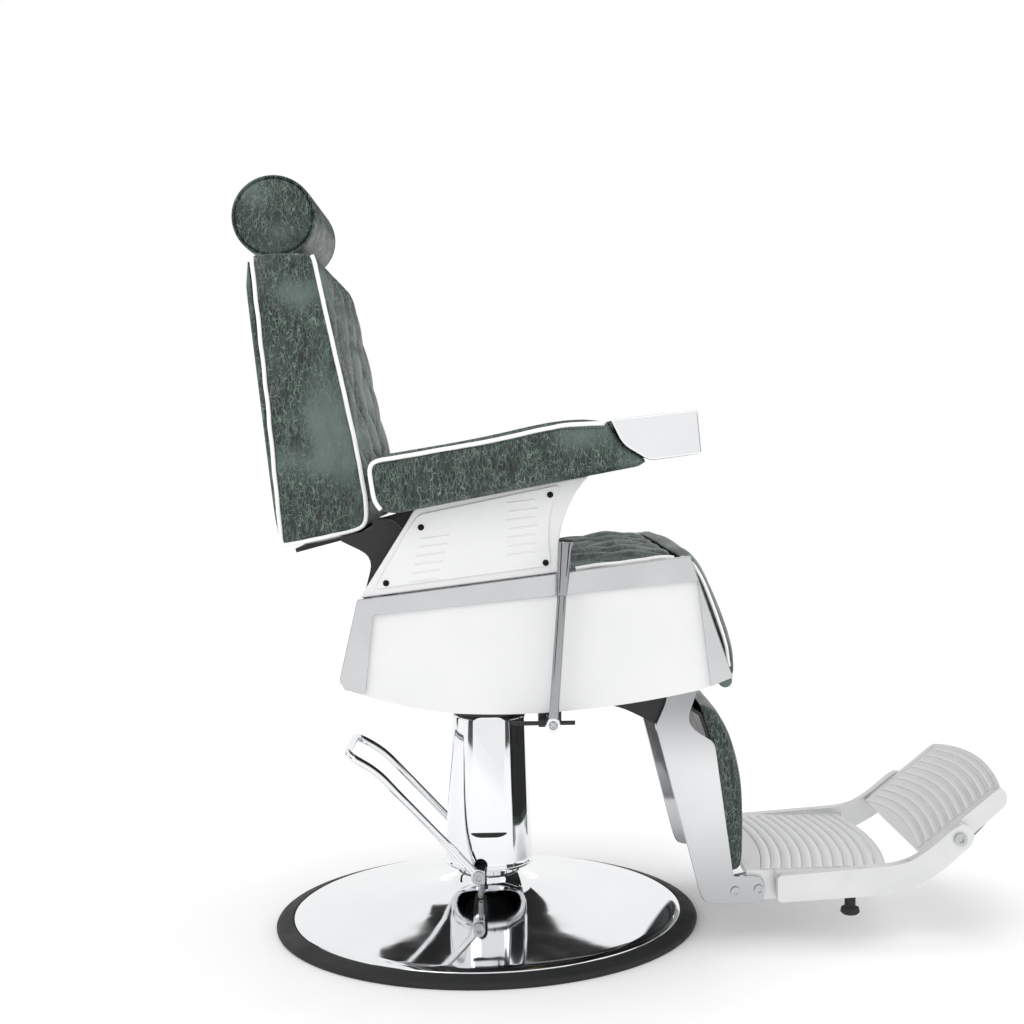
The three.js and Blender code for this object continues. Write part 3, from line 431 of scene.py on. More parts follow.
def plate_xz(name, corners, y0, y1, material, bevel=0.8, arc_steps=6):
    """A flat plate drawn in side view, corners (x, z, radius) in mm, with softened edges."""
    bm = bmesh.new()
    ring = [bm.verts.new((p.x * MM, min(y0, y1) * MM, p.y * MM)) for p in with_arcs(corners, steps=arc_steps)]
    face = bm.faces.new(ring)
    grown = bmesh.ops.extrude_face_region(bm, geom=[face])
    top = [v for v in grown["geom"] if isinstance(v, bmesh.types.BMVert)]
    bmesh.ops.translate(bm, vec=(0, abs(y1 - y0) * MM, 0), verts=top)
    bmesh.ops.recalc_face_normals(bm, faces=bm.faces)
    return eased(link_mesh(name, bm, material), bevel)


def eased(made, bevel_mm, segments=3):
    """Edges rounded by bevel_mm and flat faces left flat."""
    if bevel_mm:
        round_off = made.modifiers.new("round_off", "BEVEL")
        round_off.width = bevel_mm * MM
        round_off.segments = segments
        round_off.limit_method = "ANGLE"
        round_off.angle_limit = radians(40)
        round_off.miter_outer = "MITER_ARC"
        baked(made)
    smoothed(made, 35)
    even = made.modifiers.new("even", "WEIGHTED_NORMAL")
    even.keep_sharp = True
    even.weight = 100
    return baked(made)


STEEL = turned_steel()
# Black powder coat on steel: satin, with a fine orange peel.
BLACK = surface("black_powder_coat", (35, 4.0), ("121314", "1f2022"), (2.2, 2.0, 0.12, 0.5), (0.32, 0.46),
                Specular_IOR_Level=0.5)

pump_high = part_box("pump_cylinder")[1]
pump_radius = pump_high.x / MM
cover_low, cover_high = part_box("column_cover")
cover_foot, cover_head = cover_low.z / MM, cover_high.z / MM
settled(turned("pump_foot", [
    (0, 8.4), (pump_radius, 8.4, 1), (pump_radius, cover_foot + 2), (0, cover_foot + 2),
], CHROME, 96, closed=False), "root")
settled(turned("pump_tube", [
    (0, cover_foot + 2.2), (pump_radius, cover_foot + 2.2), (pump_radius, pump_high.z / MM, 2),
    (pump_radius - 12, pump_high.z / MM), (pump_radius - 12, 250), (0, 250),
], BLACK, 96, closed=False), "root")

foot_radius, head_radius = cover_high.x / MM, cover_high.x / MM - 10
taper = atan2(foot_radius - head_radius, cover_head - cover_foot)
flat_foot, flat_depth = 142, 5
at_flat = foot_radius - (flat_foot - cover_foot) / (cover_head - cover_foot) * (foot_radius - head_radius)
cover = turned("column_cover_shell", [
    (foot_radius - 5, cover_foot, 1), (foot_radius - 1, cover_foot, 1),
    (foot_radius + 0.5, cover_foot + 3, 2), (foot_radius - 1, cover_foot + 9, 3),
    (head_radius, cover_head - 4, 2), (head_radius - 3, cover_head, 2),
    (28, cover_head), (28, cover_head - 7), (head_radius - 7, cover_head - 7),
    (foot_radius - 7, cover_foot + 4),
], CHROME, 160)
flats = [block("flat_tool", (-60, min(0, s * 30), 0), (60, max(0, s * 30), 240),
               Matrix.Translation((0, s * (at_flat - flat_depth) * MM, flat_foot * MM))
               @ Matrix.Rotation(s * taper, 4, "X")) for s in (1, -1)]
pivot_low, pivot_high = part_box("pedal_bolt_right")
pivot = Vector(((pivot_low.x + pivot_high.x) / 2, 0, (pivot_low.z + pivot_high.z) / 2)) / MM
notch = turned("notch_tool", [(0, -90), (10, -90), (10, 90), (0, 90)], None, 48, closed=False,
               place=Matrix.Translation((pivot + Vector((3, 0, 14))) * MM) @ UPRIGHT)
slot_tool = block("slot_tool", (pivot.x - 7, -90, cover_foot - 10), (pivot.x + 13, 90, pivot.z + 14))
cut_away(cover, *flats, notch, slot_tool)
settled(smoothed(cover, 30), "lift", ["column_cover"])

# A black rubber strip at the foot of each flat stands for the shade in the recess there: painted shade.
for side, label in SIDES:
    shade_strip_face = at_flat * cos(radians(14))
    settled(plate_xz(f"flat_sill_{label}", [
        (-27, flat_foot + 0.5), (27, flat_foot + 0.5), (17, flat_foot - 5, 8), (-17, flat_foot - 5, 8),
    ], side * (shade_strip_face - 4), side * (at_flat + 0.1), RUBBER, 0.3), "lift")

dressed(BLACK, 0, "pump_cylinder", "swivel_disc")
dressed(STEEL, 0, "ram")


# ---- Pump pedal ----
# A loop of chromed 12 mm rod whose two ends are flattened into lugs and bolted through the pump.
# A small pull spring under the near lug brings it back up.

def tube(name, points, radius_mm, material, cyclic=False, sides=6):
    """A round bar along points in metres."""
    curve = bpy.data.curves.new(name, "CURVE")
    curve.dimensions = "3D"
    curve.bevel_depth = radius_mm * MM
    curve.bevel_resolution = sides
    curve.use_fill_caps = True
    spline = curve.splines.new("POLY")
    spline.points.add(len(points) - 1)
    for slot_point, point in zip(spline.points, points):
        slot_point.co = (*point, 1)
    spline.use_cyclic_u = cyclic
    carrier = bpy.data.objects.new(name + "_line", curve)
    scene.collection.objects.link(carrier)
    graph = bpy.context.evaluated_depsgraph_get()
    mesh = bpy.data.meshes.new_from_object(carrier.evaluated_get(graph))
    bpy.data.objects.remove(carrier)
    mesh.materials.clear()
    mesh.materials.append(material)
    made = bpy.data.objects.new(name, mesh)
    scene.collection.objects.link(made)
    return smoothed(made, 50)


def bent_line(corners, radius, steps=10):
    """Points along a line through 3-D corners in metres, with each corner bent to about radius."""
    made = [corners[0]]
    for before, here, after in zip(corners, corners[1:], corners[2:]):
        into = here + (before - here).normalized() * min(radius, (before - here).length * 0.49)
        out = here + (after - here).normalized() * min(radius, (after - here).length * 0.49)
        for k in range(steps + 1):
            t = k / steps
            made.append(into * (1 - t) ** 2 + here * 2 * t * (1 - t) + out * t * t)
    return made + [corners[-1]]


def joined(name, first, *others):
    """Several objects made one piece."""
    with bpy.context.temp_override(active_object=first, selected_editable_objects=[first, *others]):
        bpy.ops.object.join()
    first.name = name
    return first


arm_y = half_width_of("pedal_loop") - 6
corners = [Vector((pivot.x + dx, y, pivot.z + dz)) * MM for dx, y, dz in (
    (-4, -arm_y, 5), (-152, -arm_y, 160), (-194, -arm_y, 184), (-194, arm_y, 184), (-152, arm_y, 160),
    (-4, arm_y, 5))]
loop = tube("pedal_rod", bent_line(corners, 0.022, 12), 6, CHROME, sides=8)
lugs = [plate_xz("pedal_lug", [
    (pivot.x - 9, pivot.z - 10, 4), (pivot.x + 9, pivot.z - 10, 4), (pivot.x + 9, pivot.z + 9, 4),
    (pivot.x - 3, pivot.z + 13, 3), (pivot.x - 12, pivot.z + 5, 3),
], s * (arm_y - 5.4), s * (arm_y + 5.4), CHROME, 1.0) for s in (1, -1)]
settled(joined("pedal_loop_rod", loop, *lugs), "pedal", ["pedal_loop"])

spring_turns, spring_top, spring_foot = 7, pivot.z - 11, 52
spring_line = [Vector((pivot.x + 3 + 3.4 * cos(a), -arm_y + 3.4 * sin(a),
                       spring_top + (spring_foot - spring_top) * a / (2 * pi * spring_turns))) * MM
               for a in (k * 2 * pi / 16 for k in range(16 * spring_turns + 1))]
settled(tube("pedal_spring", spring_line, 0.8, STEEL, sides=2), "root")


# ---- Seat frame ----
# Black powder-coated steel: the spider on the column, the two cheeks and their cross bars, the
# footrest's carrier and the hinge, with plywood boards under the cushions.

def birch_plywood():
    """Sanded birch plywood: pale, with long soft grain."""
    material, tree, shader = new_material("birch_plywood", Roughness=0.7)
    stretched = add_node(tree, "ShaderNodeMapping", {"Vector": object_point(tree), "Scale": (1, 0.08, 1)})
    grain = noise(tree, stretched.outputs["Vector"], 6, 4.0)
    tinted(tree, shader, grain, "a9855a", "c9a97e")
    bumped(tree, shader, grain, 0.1, 0.4)
    return material


PLYWOOD = birch_plywood()
# The front board is dressed black so that the strip of it showing between the seat cushion and the front pad
# reads as a dark seam: painted shade.
dressed(BLACK, 0.8, "seat_spider", "seat_frame", "foot_carrier", "back_frame", "lever_bracket",
        "front_board")
dressed(BLACK, 0, "gas_cylinder", "lever_cross_shaft", "release_rod", "calf_board")
dressed(STEEL, 0, "gas_rod", "recline_pin_left", "recline_pin_right")
dressed(PLYWOOD, 0.8, "seat_board")


# ---- Housing sides ----
# White lacquered panels, softly domed, with a polished band along the top and down both ends.
# The domed face is a smooth sheet stretched between the panel's four edges.

def polished_band():
    """Stainless strip with a soft polish, a little greyer than the chrome."""
    material, tree, shader = new_material("polished_band", Metallic=1.0)
    point = object_point(tree)
    stretched = add_node(tree, "ShaderNodeMapping", {"Vector": point, "Scale": (0.05, 1, 1)})
    lines = noise(tree, stretched.outputs["Vector"], 0.8, 2.0)
    tinted(tree, shader, noise(tree, point, 80), "bcbec0", "d2d3d5")
    roughened(tree, shader, lines, 0.13, 0.22)
    bumped(tree, shader, lines, 0.01, 0.4)
    return material


def two_faced(name, front, back, across, along, material, angle=50):
    """A closed body between the sheets front(u, v) and back(u, v) in mm, u and v from 0 to 1."""
    bm = bmesh.new()
    sheets = []
    for place in (front, back):
        sheets.append([[bm.verts.new(Vector(place(i / across, j / along)) * MM) for j in range(along + 1)]
                       for i in range(across + 1)])
    for rows in sheets:
        for i in range(across):
            for j in range(along):
                bm.faces.new((rows[i][j], rows[i + 1][j], rows[i + 1][j + 1], rows[i][j + 1]))
    border = [(i, 0) for i in range(across)] + [(across, j) for j in range(along)]
    border += [(i, along) for i in range(across, 0, -1)] + [(0, j) for j in range(along, 0, -1)]
    for (a, b), (c, d) in zip(border, border[1:] + border[:1]):
        bm.faces.new((sheets[0][a][b], sheets[0][c][d], sheets[1][c][d], sheets[1][a][b]))
    bmesh.ops.recalc_face_normals(bm, faces=bm.faces)
    return smoothed(link_mesh(name, bm, material), angle)


def walk(points):
    """A function from 0..1 to the point that far along a line of 2-D points."""
    points = [Vector(p) for p in points]
    reached = [0.0]
    for a, b in zip(points, points[1:]):
        reached.append(reached[-1] + (b - a).length)

    def at(share):
        goal = share * reached[-1]
        for i in range(1, len(points)):
            if goal <= reached[i] or i == len(points) - 1:
                return points[i - 1].lerp(points[i], (goal - reached[i - 1]) / (reached[i] - reached[i - 1]))
    return at


def bowed(start, pull, end, steps=14):
    """Points of the soft arc from start to end, drawn towards pull."""
    a, b, c = Vector(start), Vector(pull), Vector(end)
    return [a * (1 - t) ** 2 + b * 2 * t * (1 - t) + c * t * t for t in (k / steps for k in range(steps + 1))]


# Sprayed white gloss: a clear coat over white, with a whisper of orange peel.
WHITE = surface("white_lacquer", (90, 3.0), ("dedfe0", "eaeaea"), (6, 1.0, 0.02, 0.5), Roughness=0.3,
                Coat_Weight=0.8, Coat_Roughness=0.05)
BAND = polished_band()

panel_face = half_width_of("side_panel_left")
rear_top, front_top, front_corner = (-173, 517), (272, 573), (330, 409)
belly = bowed((-189, 398), (-120, 372), (-44, 364)) + bowed((-44, 364), (110, 354), (289, 392))[1:]
edge_top = walk([rear_top, front_top])
edge_bottom = walk([(-196, 411), *belly, front_corner])
edge_rear = walk([rear_top, (-196, 411)])
edge_front = walk([front_top, front_corner])


def on_panel(u, v):
    """The point of the side panel's outline stretched to u along and v down."""
    ends = edge_rear(v).lerp(edge_front(v), u) + edge_top(u).lerp(edge_bottom(u), v)
    corners = edge_top(0).lerp(edge_top(1), u).lerp(edge_bottom(0).lerp(edge_bottom(1), u), v)
    return ends - corners


for side, label in SIDES:
    def outer_face(u, v):
        dome = 5.5 * (1 - abs(2 * u - 1) ** 2.5) * (1 - abs(2 * v - 1) ** 2.2)
        p = on_panel(u, v)
        return p.x, side * (panel_face - 0.1 + dome), p.y

    def inner_face(u, v):
        p = on_panel(u, v)
        return p.x, side * (panel_face - 3.9), p.y

    settled(two_faced(f"white_side_{label}", outer_face, inner_face, 60, 28, WHITE), "seat",
            [f"side_panel_{label}"])
    band = plate_xz(f"polished_band_{label}", [
        rear_top, front_top, front_corner, (300, 397), (282, 540, 3), (-152, 497, 3), (-162, 393),
        (-189, 398), (-196, 411),
    ], side * (panel_face + 0.2), side * (panel_face + 7.4), BAND, 1.2)
    settled(band, "seat", [f"trim_band_{label}"])
dressed(WHITE, 0.6, "rear_panel")


# ---- Arm supports ----
# White cast supports, each closed by a thin cover with a raised edge, pressed louvres and four
# black button screws. The screws and louvres are laid out with geometry nodes.

def scattered(name, unit, places, turns, material):
    """One mesh holding a copy of unit at each place in metres, turned by its Euler angles."""
    mesh = bpy.data.meshes.new(name)
    mesh.from_pydata([tuple(p) for p in places], [], [])
    stored = mesh.attributes.new("turn", "FLOAT_VECTOR", "POINT")
    stored.data.foreach_set("vector", [angle for turn in turns for angle in turn])
    made = bpy.data.objects.new(name, mesh)
    scene.collection.objects.link(made)
    tree = bpy.data.node_groups.new(name, "GeometryNodeTree")
    tree.interface.new_socket("Geometry", in_out="INPUT", socket_type="NodeSocketGeometry")
    unit_input = tree.interface.new_socket("Unit", in_out="INPUT", socket_type="NodeSocketObject")
    tree.interface.new_socket("Geometry", in_out="OUTPUT", socket_type="NodeSocketGeometry")
    start = add_node(tree, "NodeGroupInput")
    shape = add_node(tree, "GeometryNodeObjectInfo", {"Object": start.outputs["Unit"]})
    turn = add_node(tree, "GeometryNodeInputNamedAttribute", {"Name": "turn"}, data_type="FLOAT_VECTOR")
    spun = add_node(tree, "FunctionNodeEulerToRotation", {"Euler": turn.outputs["Attribute"]})
    copies = add_node(tree, "GeometryNodeInstanceOnPoints", {
        "Points": start.outputs["Geometry"], "Instance": shape.outputs["Geometry"],
        "Rotation": spun.outputs["Rotation"]})
    real = add_node(tree, "GeometryNodeRealizeInstances", {"Geometry": copies.outputs["Instances"]})
    coated = add_node(tree, "GeometryNodeSetMaterial", {"Geometry": real.outputs["Geometry"],
                                                        "Material": material})
    end = add_node(tree, "NodeGroupOutput")
    tree.links.new(coated.outputs["Geometry"], end.inputs["Geometry"])
    layout = made.modifiers.new("layout", "NODES")
    layout.node_group = tree
    layout[unit_input.identifier] = unit
    baked(made)
    bpy.data.objects.remove(unit)
    return made


def button_screw(radius):
    """A button head with a hexagon socket, its seat at the origin, facing +Z."""
    head = turned("screw_head", [
        (0, 0), (radius, 0), (radius, 0.5), (radius * 0.72, radius * 0.55, radius * 0.4), (0, radius * 0.6),
    ], None, 32, closed=False)
    socket = turned("socket_tool", [(0, radius * 0.2), (radius * 0.46, radius * 0.2),
                                    (radius * 0.46, radius), (0, radius)], None, 6, closed=False)
    return smoothed(cut_away(head, socket), 30)


# Black-oxide screw steel: dark, slightly oily.
SCREW = surface("black_oxide", (2.5, 3.0), ("17181a", "2a2b2e"), rough=(0.28, 0.42), Metallic=1.0)
support_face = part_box("arm_cover_left")[0].y / MM - 0.3
support_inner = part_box("arm_support_left")[0].y / MM
slope = (front_top[1] - rear_top[1]) / (front_top[0] - rear_top[0])


def rim_at(x):
    """The height of the housing's top edge at x, in mm."""
    return rear_top[1] + (x - rear_top[0]) * slope


curve_foot, curve_head = rim_at(93.5), 681
for side, label in SIDES:
    curve = [(94 - 4 * t + 12 * t ** 2 + 34 * t ** 3, curve_foot + 1 + (curve_head - curve_foot) * t)
             for t in (k / 12 for k in range(13))]
    outline = [(-170, rim_at(-170) + 1.5), *curve, (-97, 639, 6), (-110, 616, 12)]
    tongue = block("tongue", (-120, min(side * support_inner, side * 287), 440),
                   (66, max(side * support_inner, side * 287), 560))
    support = plate_xz(f"arm_support_{label}_cast", outline, side * support_inner, side * support_face,
                       WHITE, 2.5, 8)
    tongue.data.materials.append(WHITE)
    settled(joined(f"arm_support_{label}_cast", support, tongue), "seat",
            [f"arm_support_{label}"])
    cover_outline = [(-107, 609, 10), (-92, 630, 8), (98, 670, 12), (84, 640, 30), (80, 600, 20),
                     (84, 561, 8), (-150, 531, 8)]
    settled(plate_xz(f"arm_cover_{label}_plate", cover_outline, side * (support_face + 0.3),
                     side * (support_face + 2.3), WHITE, 0.9, 8), "seat",
            [f"arm_cover_{label}"])
    face = side * (support_face + 2.3)
    outward = (radians(-90) if side > 0 else radians(90), 0, 0)
    spots = [(-89, 613), (83, 656), (-135, 539), (77, 565)]
    settled(scattered(f"arm_screws_{label}", button_screw(4.2),
                      [Vector((x, face, z)) * MM for x, z in spots], [outward] * 4, SCREW),
            "seat")
    louvre = tube("louvre", [Vector((x, 0, x * slope)) * MM for x in (-19, 19)], 1.0, WHITE)
    rows = [(52 + 3 * (k % 2), 578 + 11.5 * k) for k in range(7)]
    rows += [(-62 - 3 * k, 600 - 11.5 * k) for k in range(6)]
    settled(scattered(f"arm_louvres_{label}", louvre, [Vector((x - 8, face, z)) * MM for x, z in rows],
                      [(0, 0, 0)] * len(rows), WHITE), "seat")


# ---- Upholstery leather ----
# Bottle-green distressed leathercloth: dark ground, a tangle of fine pale strokes that thins out
# into smooth paler patches (partly wear, partly a painted sheen), and a pebbled grain. White vinyl
# piping and dark thread finish it.

def distressed_leather(name, ground, stroke, wear_and_sheen):
    """Waxed leathercloth. The strokes are the edges of stretched cells laid three ways."""
    material, tree, shader = new_material(name, Specular_IOR_Level=0.45)
    point = object_point(tree)
    drift = add_node(tree, "ShaderNodeTexNoise", {"Vector": point, "Scale": 70.0, "Detail": 2.0})
    pushed = add_node(tree, "ShaderNodeVectorMath", {0: drift.outputs["Color"], 1: (0.006, 0.006, 0.006)},
                      operation="MULTIPLY")
    bent = add_node(tree, "ShaderNodeVectorMath", {0: point, 1: pushed.outputs["Vector"]}, operation="ADD")
    strokes = None
    for tilt, cell_mm in (((0.3, 0.5, 0.2), 3.8), ((1.2, -0.9, 1.9), 5.0), ((-0.8, 2.3, 0.9), 4.4)):
        laid = add_node(tree, "ShaderNodeMapping", {"Vector": bent.outputs["Vector"], "Rotation": tilt,
                                                    "Scale": (1.0, 0.14, 0.32)})
        cells = add_node(tree, "ShaderNodeTexVoronoi", {"Vector": laid.outputs["Vector"],
                                                        "Scale": 1000 / cell_mm},
                         feature="DISTANCE_TO_EDGE")
        line = spread(tree, cells.outputs["Distance"], 0.0, 0.04, 1.0, 0.0)
        broken = spread(tree, noise(tree, laid.outputs["Vector"], 7, 2.0), 0.4, 0.58, 0.05, 1.0)
        line = add_node(tree, "ShaderNodeMath", {0: line, 1: broken}, operation="MULTIPLY").outputs[0]
        if strokes is None:
            strokes = line
        else:
            strokes = add_node(tree, "ShaderNodeMath", {0: strokes, 1: line}, operation="MAXIMUM").outputs[0]
    # Large patches where the strokes thin out and the colour turns a paler grey-green: partly wear, partly a
    # painted sheen.
    wear_and_sheen_patch = spread(tree, noise(tree, point, 130, 2.0), 0.47, 0.66, 0.0, 1.0, True)
    shown = add_node(tree, "ShaderNodeMath", {0: strokes, 1: spread(tree, wear_and_sheen_patch, 0, 1, 0.95, 0.35)},
                     operation="MULTIPLY").outputs[0]
    blot = noise(tree, point, 9, 3.0)
    dark = mixed(tree, spread(tree, blot, 0.35, 0.62, 0, 1), linear(ground[0]), linear(ground[1]))
    rubbed_and_sheen = mixed(tree, spread(tree, wear_and_sheen_patch, 0, 1, 0.0, 0.62), dark, linear(wear_and_sheen))
    tree.links.new(mixed(tree, shown, rubbed_and_sheen, linear(stroke)), shader.inputs["Base Color"])
    roughened(tree, shader, noise(tree, point, 22, 3.0), 0.36, 0.5)
    pebbled = bumped(tree, shader, noise(tree, point, 1.6, 3.0), 0.18, 0.5)
    bumped(tree, shader, shown, 0.25, 0.4, pebbled)
    return material


# The last colour is the paler tone of the patches: wear and painted sheen.
LEATHER = distressed_leather("bottle_green_leather", ("0d1512", "203029"), "7d9288", "70807a")
# White vinyl welt: smooth, softly shiny, with a faint grain.
PIPING = surface("white_piping_vinyl", (25, 3.0), ("f2f2f0", "fbfbfa"), (1.2, 3.0, 0.08, 0.4), Roughness=0.38)
# Dark green polyester thread, twisted.
THREAD = surface("waxed_thread", (0.7, 3.0), ("101a15", "2c3d34"), Roughness=0.6)


def stuffed(made, voxel_mm, swell_mm):
    """made remeshed and blown up by cloth simulation; no point moves more than swell_mm."""
    remesh = made.modifiers.new("remesh", "REMESH")
    remesh.mode = "VOXEL"
    remesh.voxel_size = voxel_mm * MM
    soften = made.modifiers.new("soften", "SMOOTH")
    soften.factor = 0.5
    soften.iterations = 8
    baked(made)
    start = [v.co.copy() for v in made.data.vertices]
    cloth = made.modifiers.new("filling", "CLOTH")
    cloth.settings.use_pressure = True
    cloth.settings.uniform_pressure_force = 4.0
    cloth.settings.quality = 4
    cloth.settings.effector_weights.gravity = 0.0
    cloth.point_cache.frame_start = 1
    cloth.point_cache.frame_end = 20
    for tick in range(1, 21):
        scene.frame_set(tick)
    baked(made)
    scene.frame_set(1)
    for vertex, before in zip(made.data.vertices, start):
        moved = vertex.co - before
        if moved.length > swell_mm * MM:
            vertex.co = before + moved.normalized() * swell_mm * MM
    finer = made.modifiers.new("finer", "SUBSURF")
    finer.levels = 1
    finer.render_levels = 1
    baked(made)
    made.data.shade_smooth()
    return made


def surface_finder(pad):
    """A function from a point to the nearest point and normal of pad's surface."""
    mesh = pad.data
    found = BVHTree.FromPolygons([v.co for v in mesh.vertices], [p.vertices for p in mesh.polygons])
    return lambda p: found.find_nearest(p)[:2]


def resampled(points, step):
    """Points every step metres along a line of points in metres."""
    lengths = [(b - a).length for a, b in zip(points, points[1:])]
    count = max(2, round(sum(lengths) / step))
    made = []
    for k in range(count + 1):
        goal = sum(lengths) * k / count
        i = 0
        while i < len(lengths) - 1 and goal > lengths[i]:
            goal -= lengths[i]
            i += 1
        made.append(points[i].lerp(points[i + 1], min(1, goal / lengths[i])))
    return made


def piped(name, line, pad, body, radius=3.0, sink=0.4):
    """White piping that follows a line in mm, laid on the pad's surface."""
    nearest = surface_finder(pad)
    laid = []
    for p in resampled([Vector(p) * MM for p in line], 0.006):
        place, normal = nearest(p)
        laid.append(place + normal * radius * sink * MM)
    for _ in range(4):
        laid = [laid[0]] + [(a + b * 2 + c) / 4 for a, b, c in zip(laid, laid[1:], laid[2:])] + [laid[-1]]
    made = tube(name, laid, radius, PIPING, sides=4)
    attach(made, body)
    return made


def stitched(name, line, pad, body, pitch=5.0):
    """Thread stitches along a line in mm, laid on the pad's surface."""
    nearest = surface_finder(pad)
    points = resampled([Vector(p) * MM for p in line], pitch * MM)
    places, turns = [], []
    for a, b in zip(points, points[1:]):
        place, normal = nearest((a + b) / 2)
        places.append(place + normal * 0.15 * MM)
        turns.append((b - a).to_track_quat("X", "Z").to_euler())
    stitch = turned("stitch", [(0, -1.7), (0.5, -1.5, 0.3), (0.62, 0), (0.5, 1.5, 0.3), (0, 1.7)], None, 8,
                    closed=False, place=Matrix.Rotation(radians(90), 4, "Y"))
    made = scattered(name, stitch, places, turns, THREAD)
    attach(made, body)
    return made


# ---- Arm pads ----
# Foam under leathercloth, blown up by simulation, with white piping round the outer and inner top
# edges. A bright folded cap closes the front of each.

def inset(corners, by_mm):
    """An outline drawn in towards its middle by about by_mm."""
    middle = sum((Vector(c[:2]) for c in corners), Vector((0, 0))) / len(corners)
    made = []
    for corner in corners:
        away = Vector(corner[:2]) - middle
        near = middle + away * (1 - by_mm / away.length)
        made.append((near.x, near.y, *corner[2:]))
    return made


def cushioned(made, body, nodes):
    return settled(made, body, nodes)


for side, label in SIDES:
    low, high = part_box(f"arm_pad_{label}")
    inner, outer = sorted((low.y / MM, high.y / MM), key=abs)
    pad_outline = [(-160, 703, 12), (-150, 645, 6), (-138, 632, 12), (214, 700, 4), (176, 722, 12),
                   (154, 755, 4), (90, 753, 60), (-10, 729, 60)]
    start = plate_xz(f"arm_pad_{label}_stuffed", inset(pad_outline, 0.5), inner + side * 1.5,
                     outer - side * 1.5, LEATHER, 0)
    pad = cushioned(stuffed(start, 5, 3), "seat", [f"arm_pad_{label}"])
    for y, edge in ((outer, "outer"), (inner, "inner")):
        top_line = [(154, y, 754), (90, y, 750), (0, y, 730.5), (-80, y, 718), (-152, y, 703), (-158, y, 694),
                    (-150, y, 645), (-141, y, 634)]
        piped(f"arm_piping_{label}_{edge}", top_line, pad, "seat")
        stitch_line = [(154, y, 745), (90, y, 743), (0, y, 723.5), (-80, y, 711), (-148, y, 697)]
        stitched(f"arm_stitches_{label}_{edge}", stitch_line, pad, "seat")
    cap = plate_xz(f"arm_cap_{label}_bright", [
        (160.5, 755.5), (276.5, 769, 4), (282, 711, 4), (216, 702.5, 8), (208, 704.5, 3), (177, 722.8, 12),
    ], inner, outer, CHROME, 3.0, 8)
    settled(cap, "seat", [f"arm_cap_{label}"])


# ---- Seat cushion and front pad ----
# A deep seat cushion, diamond-tufted on top, set between the sides on its board. The front pad
# rolls over the front edge and down to the footrest.

def tuft(p, q, pitch_p, pitch_q):
    """Height of diamond tufting at p, q: 1 on a pillow, 0 in a fold, and -1 at a button."""
    a = abs(sin(pi * (p / pitch_p + q / pitch_q)))
    b = abs(sin(pi * (p / pitch_p - q / pitch_q)))
    return (a * b) ** 0.4 - exp(-(a * a + b * b) / 0.05)


def edge_round(share, sharpness):
    """1 in the middle of a pad, falling to 0 at share 0 and 1 in a round shoulder."""
    return max(0.0, 1 - abs(2 * share - 1) ** sharpness) ** 0.45


def pillow(name, front_line, back_line, half_width, across, along, relief=None, shoulder=(14, 14), low=0.2):
    """A crowned pad between two side-view lines in mm; half_width is a function of x."""
    outer, inner = walk(front_line), walk(back_line)

    def thick(u, v):
        return low + (1 - low) * edge_round(u, shoulder[0]) * edge_round(v, shoulder[1])

    def front(u, v):
        a, b = inner(v), outer(v)
        y = (2 * u - 1) * half_width(b.x)
        p = a.lerp(b, thick(u, v))
        if relief:
            ahead, behind = outer(min(1, v + 0.01)), outer(max(0, v - 0.01))
            way = (ahead - behind).normalized()
            normal = Vector((way.y, -way.x))
            if normal.dot(b - a) < 0:
                normal.negate()
            p = p + normal * relief(y, v) * edge_round(u, shoulder[0]) * edge_round(v, shoulder[1])
        return p.x, y, p.y

    def back(u, v):
        a = inner(v)
        return a.x, (2 * u - 1) * half_width(outer(v).x) * 0.995, a.y

    return two_faced(name, front, back, across, along, LEATHER, 80)


def seat_half_width(x):
    steps = [(-128, 222), (-100, 228), (-88, 256), (100, 256), (114, 286), (256, 286)]
    for (x0, w0), (x1, w1) in zip(steps, steps[1:]):
        if x <= x1:
            return w0 + (w1 - w0) * max(0, (x - x0) / (x1 - x0))
    return steps[-1][1]


seat_length = 259 + 126
seat = pillow("seat_cushion_tufted",
              [(x, rim_at(x) + rise) for x, rise in ((-126, 6), (120, 6), (195, 7), (235, 1), (259, -4))],
              [(x, rim_at(x) - 29) for x in (-126, 259)], seat_half_width, 200, 140,
              lambda y, v: 10 * tuft(y, v * seat_length, 116, 128) - 3, (30, 40), 0.55)
cushioned(seat, "seat", ["seat_cushion"])
for side, label in SIDES:
    rim_line = [(x, side * 287, rim_at(x) + 2 + (x - 118) * 0.05) for x in range(118, 260, 6)]
    piped(f"seat_piping_{label}", rim_line, seat, "seat", 3.2)

front_half = half_width_of("seat_front_pad")
nose = with_arcs([(260, 575), (276, 579, 8), (300, 560, 40), (318, 524, 40), (335, 478, 40), (346, 440, 20),
                  (343, 414, 10), (336, 408)], closed=False)
board_lean = (front_corner[0] - front_top[0]) / (front_top[1] - front_corner[1])
board_line = [(261, 569.5), (273.2, 571)]
board_line += [(273.8 + (front_top[1] - z) * board_lean, z) for z in (564, 540, 500, 460, 412)]
nose_pad = pillow("front_pad_rolled", nose, board_line, lambda x: front_half, 150, 90,
                  lambda y, v: 1.2 * sin(v * 9 + y * 0.02), (2.6, 60), 0.15)
cushioned(nose_pad, "seat", ["seat_front_pad"])
bolster_end = [(0, front_half), (6.5, front_half - 0.5, 3), (9.6, front_half - 5, 4)]
bolster = turned("front_pad_bolster", bolster_end + [(r, -y, *more) for r, y, *more in reversed(bolster_end)],
                 LEATHER, 48, closed=False,
                 place=Matrix.Translation((0.3225, 0, 0.4015)) @ UPRIGHT)
cushioned(smoothed(bolster, 60), "seat", [])
for side, label in SIDES:
    edge = [(p.x - 20, side * front_half, p.y) for p in nose[2:-6]]
    piped(f"front_piping_{label}", edge, nose_pad, "seat", 2.4)


# ---- Backrest ----
# A wedge-shaped body with broad leather sides, white piping down its front and rear edges and
# round the bottom, a deeply tufted front and a plain rear panel.

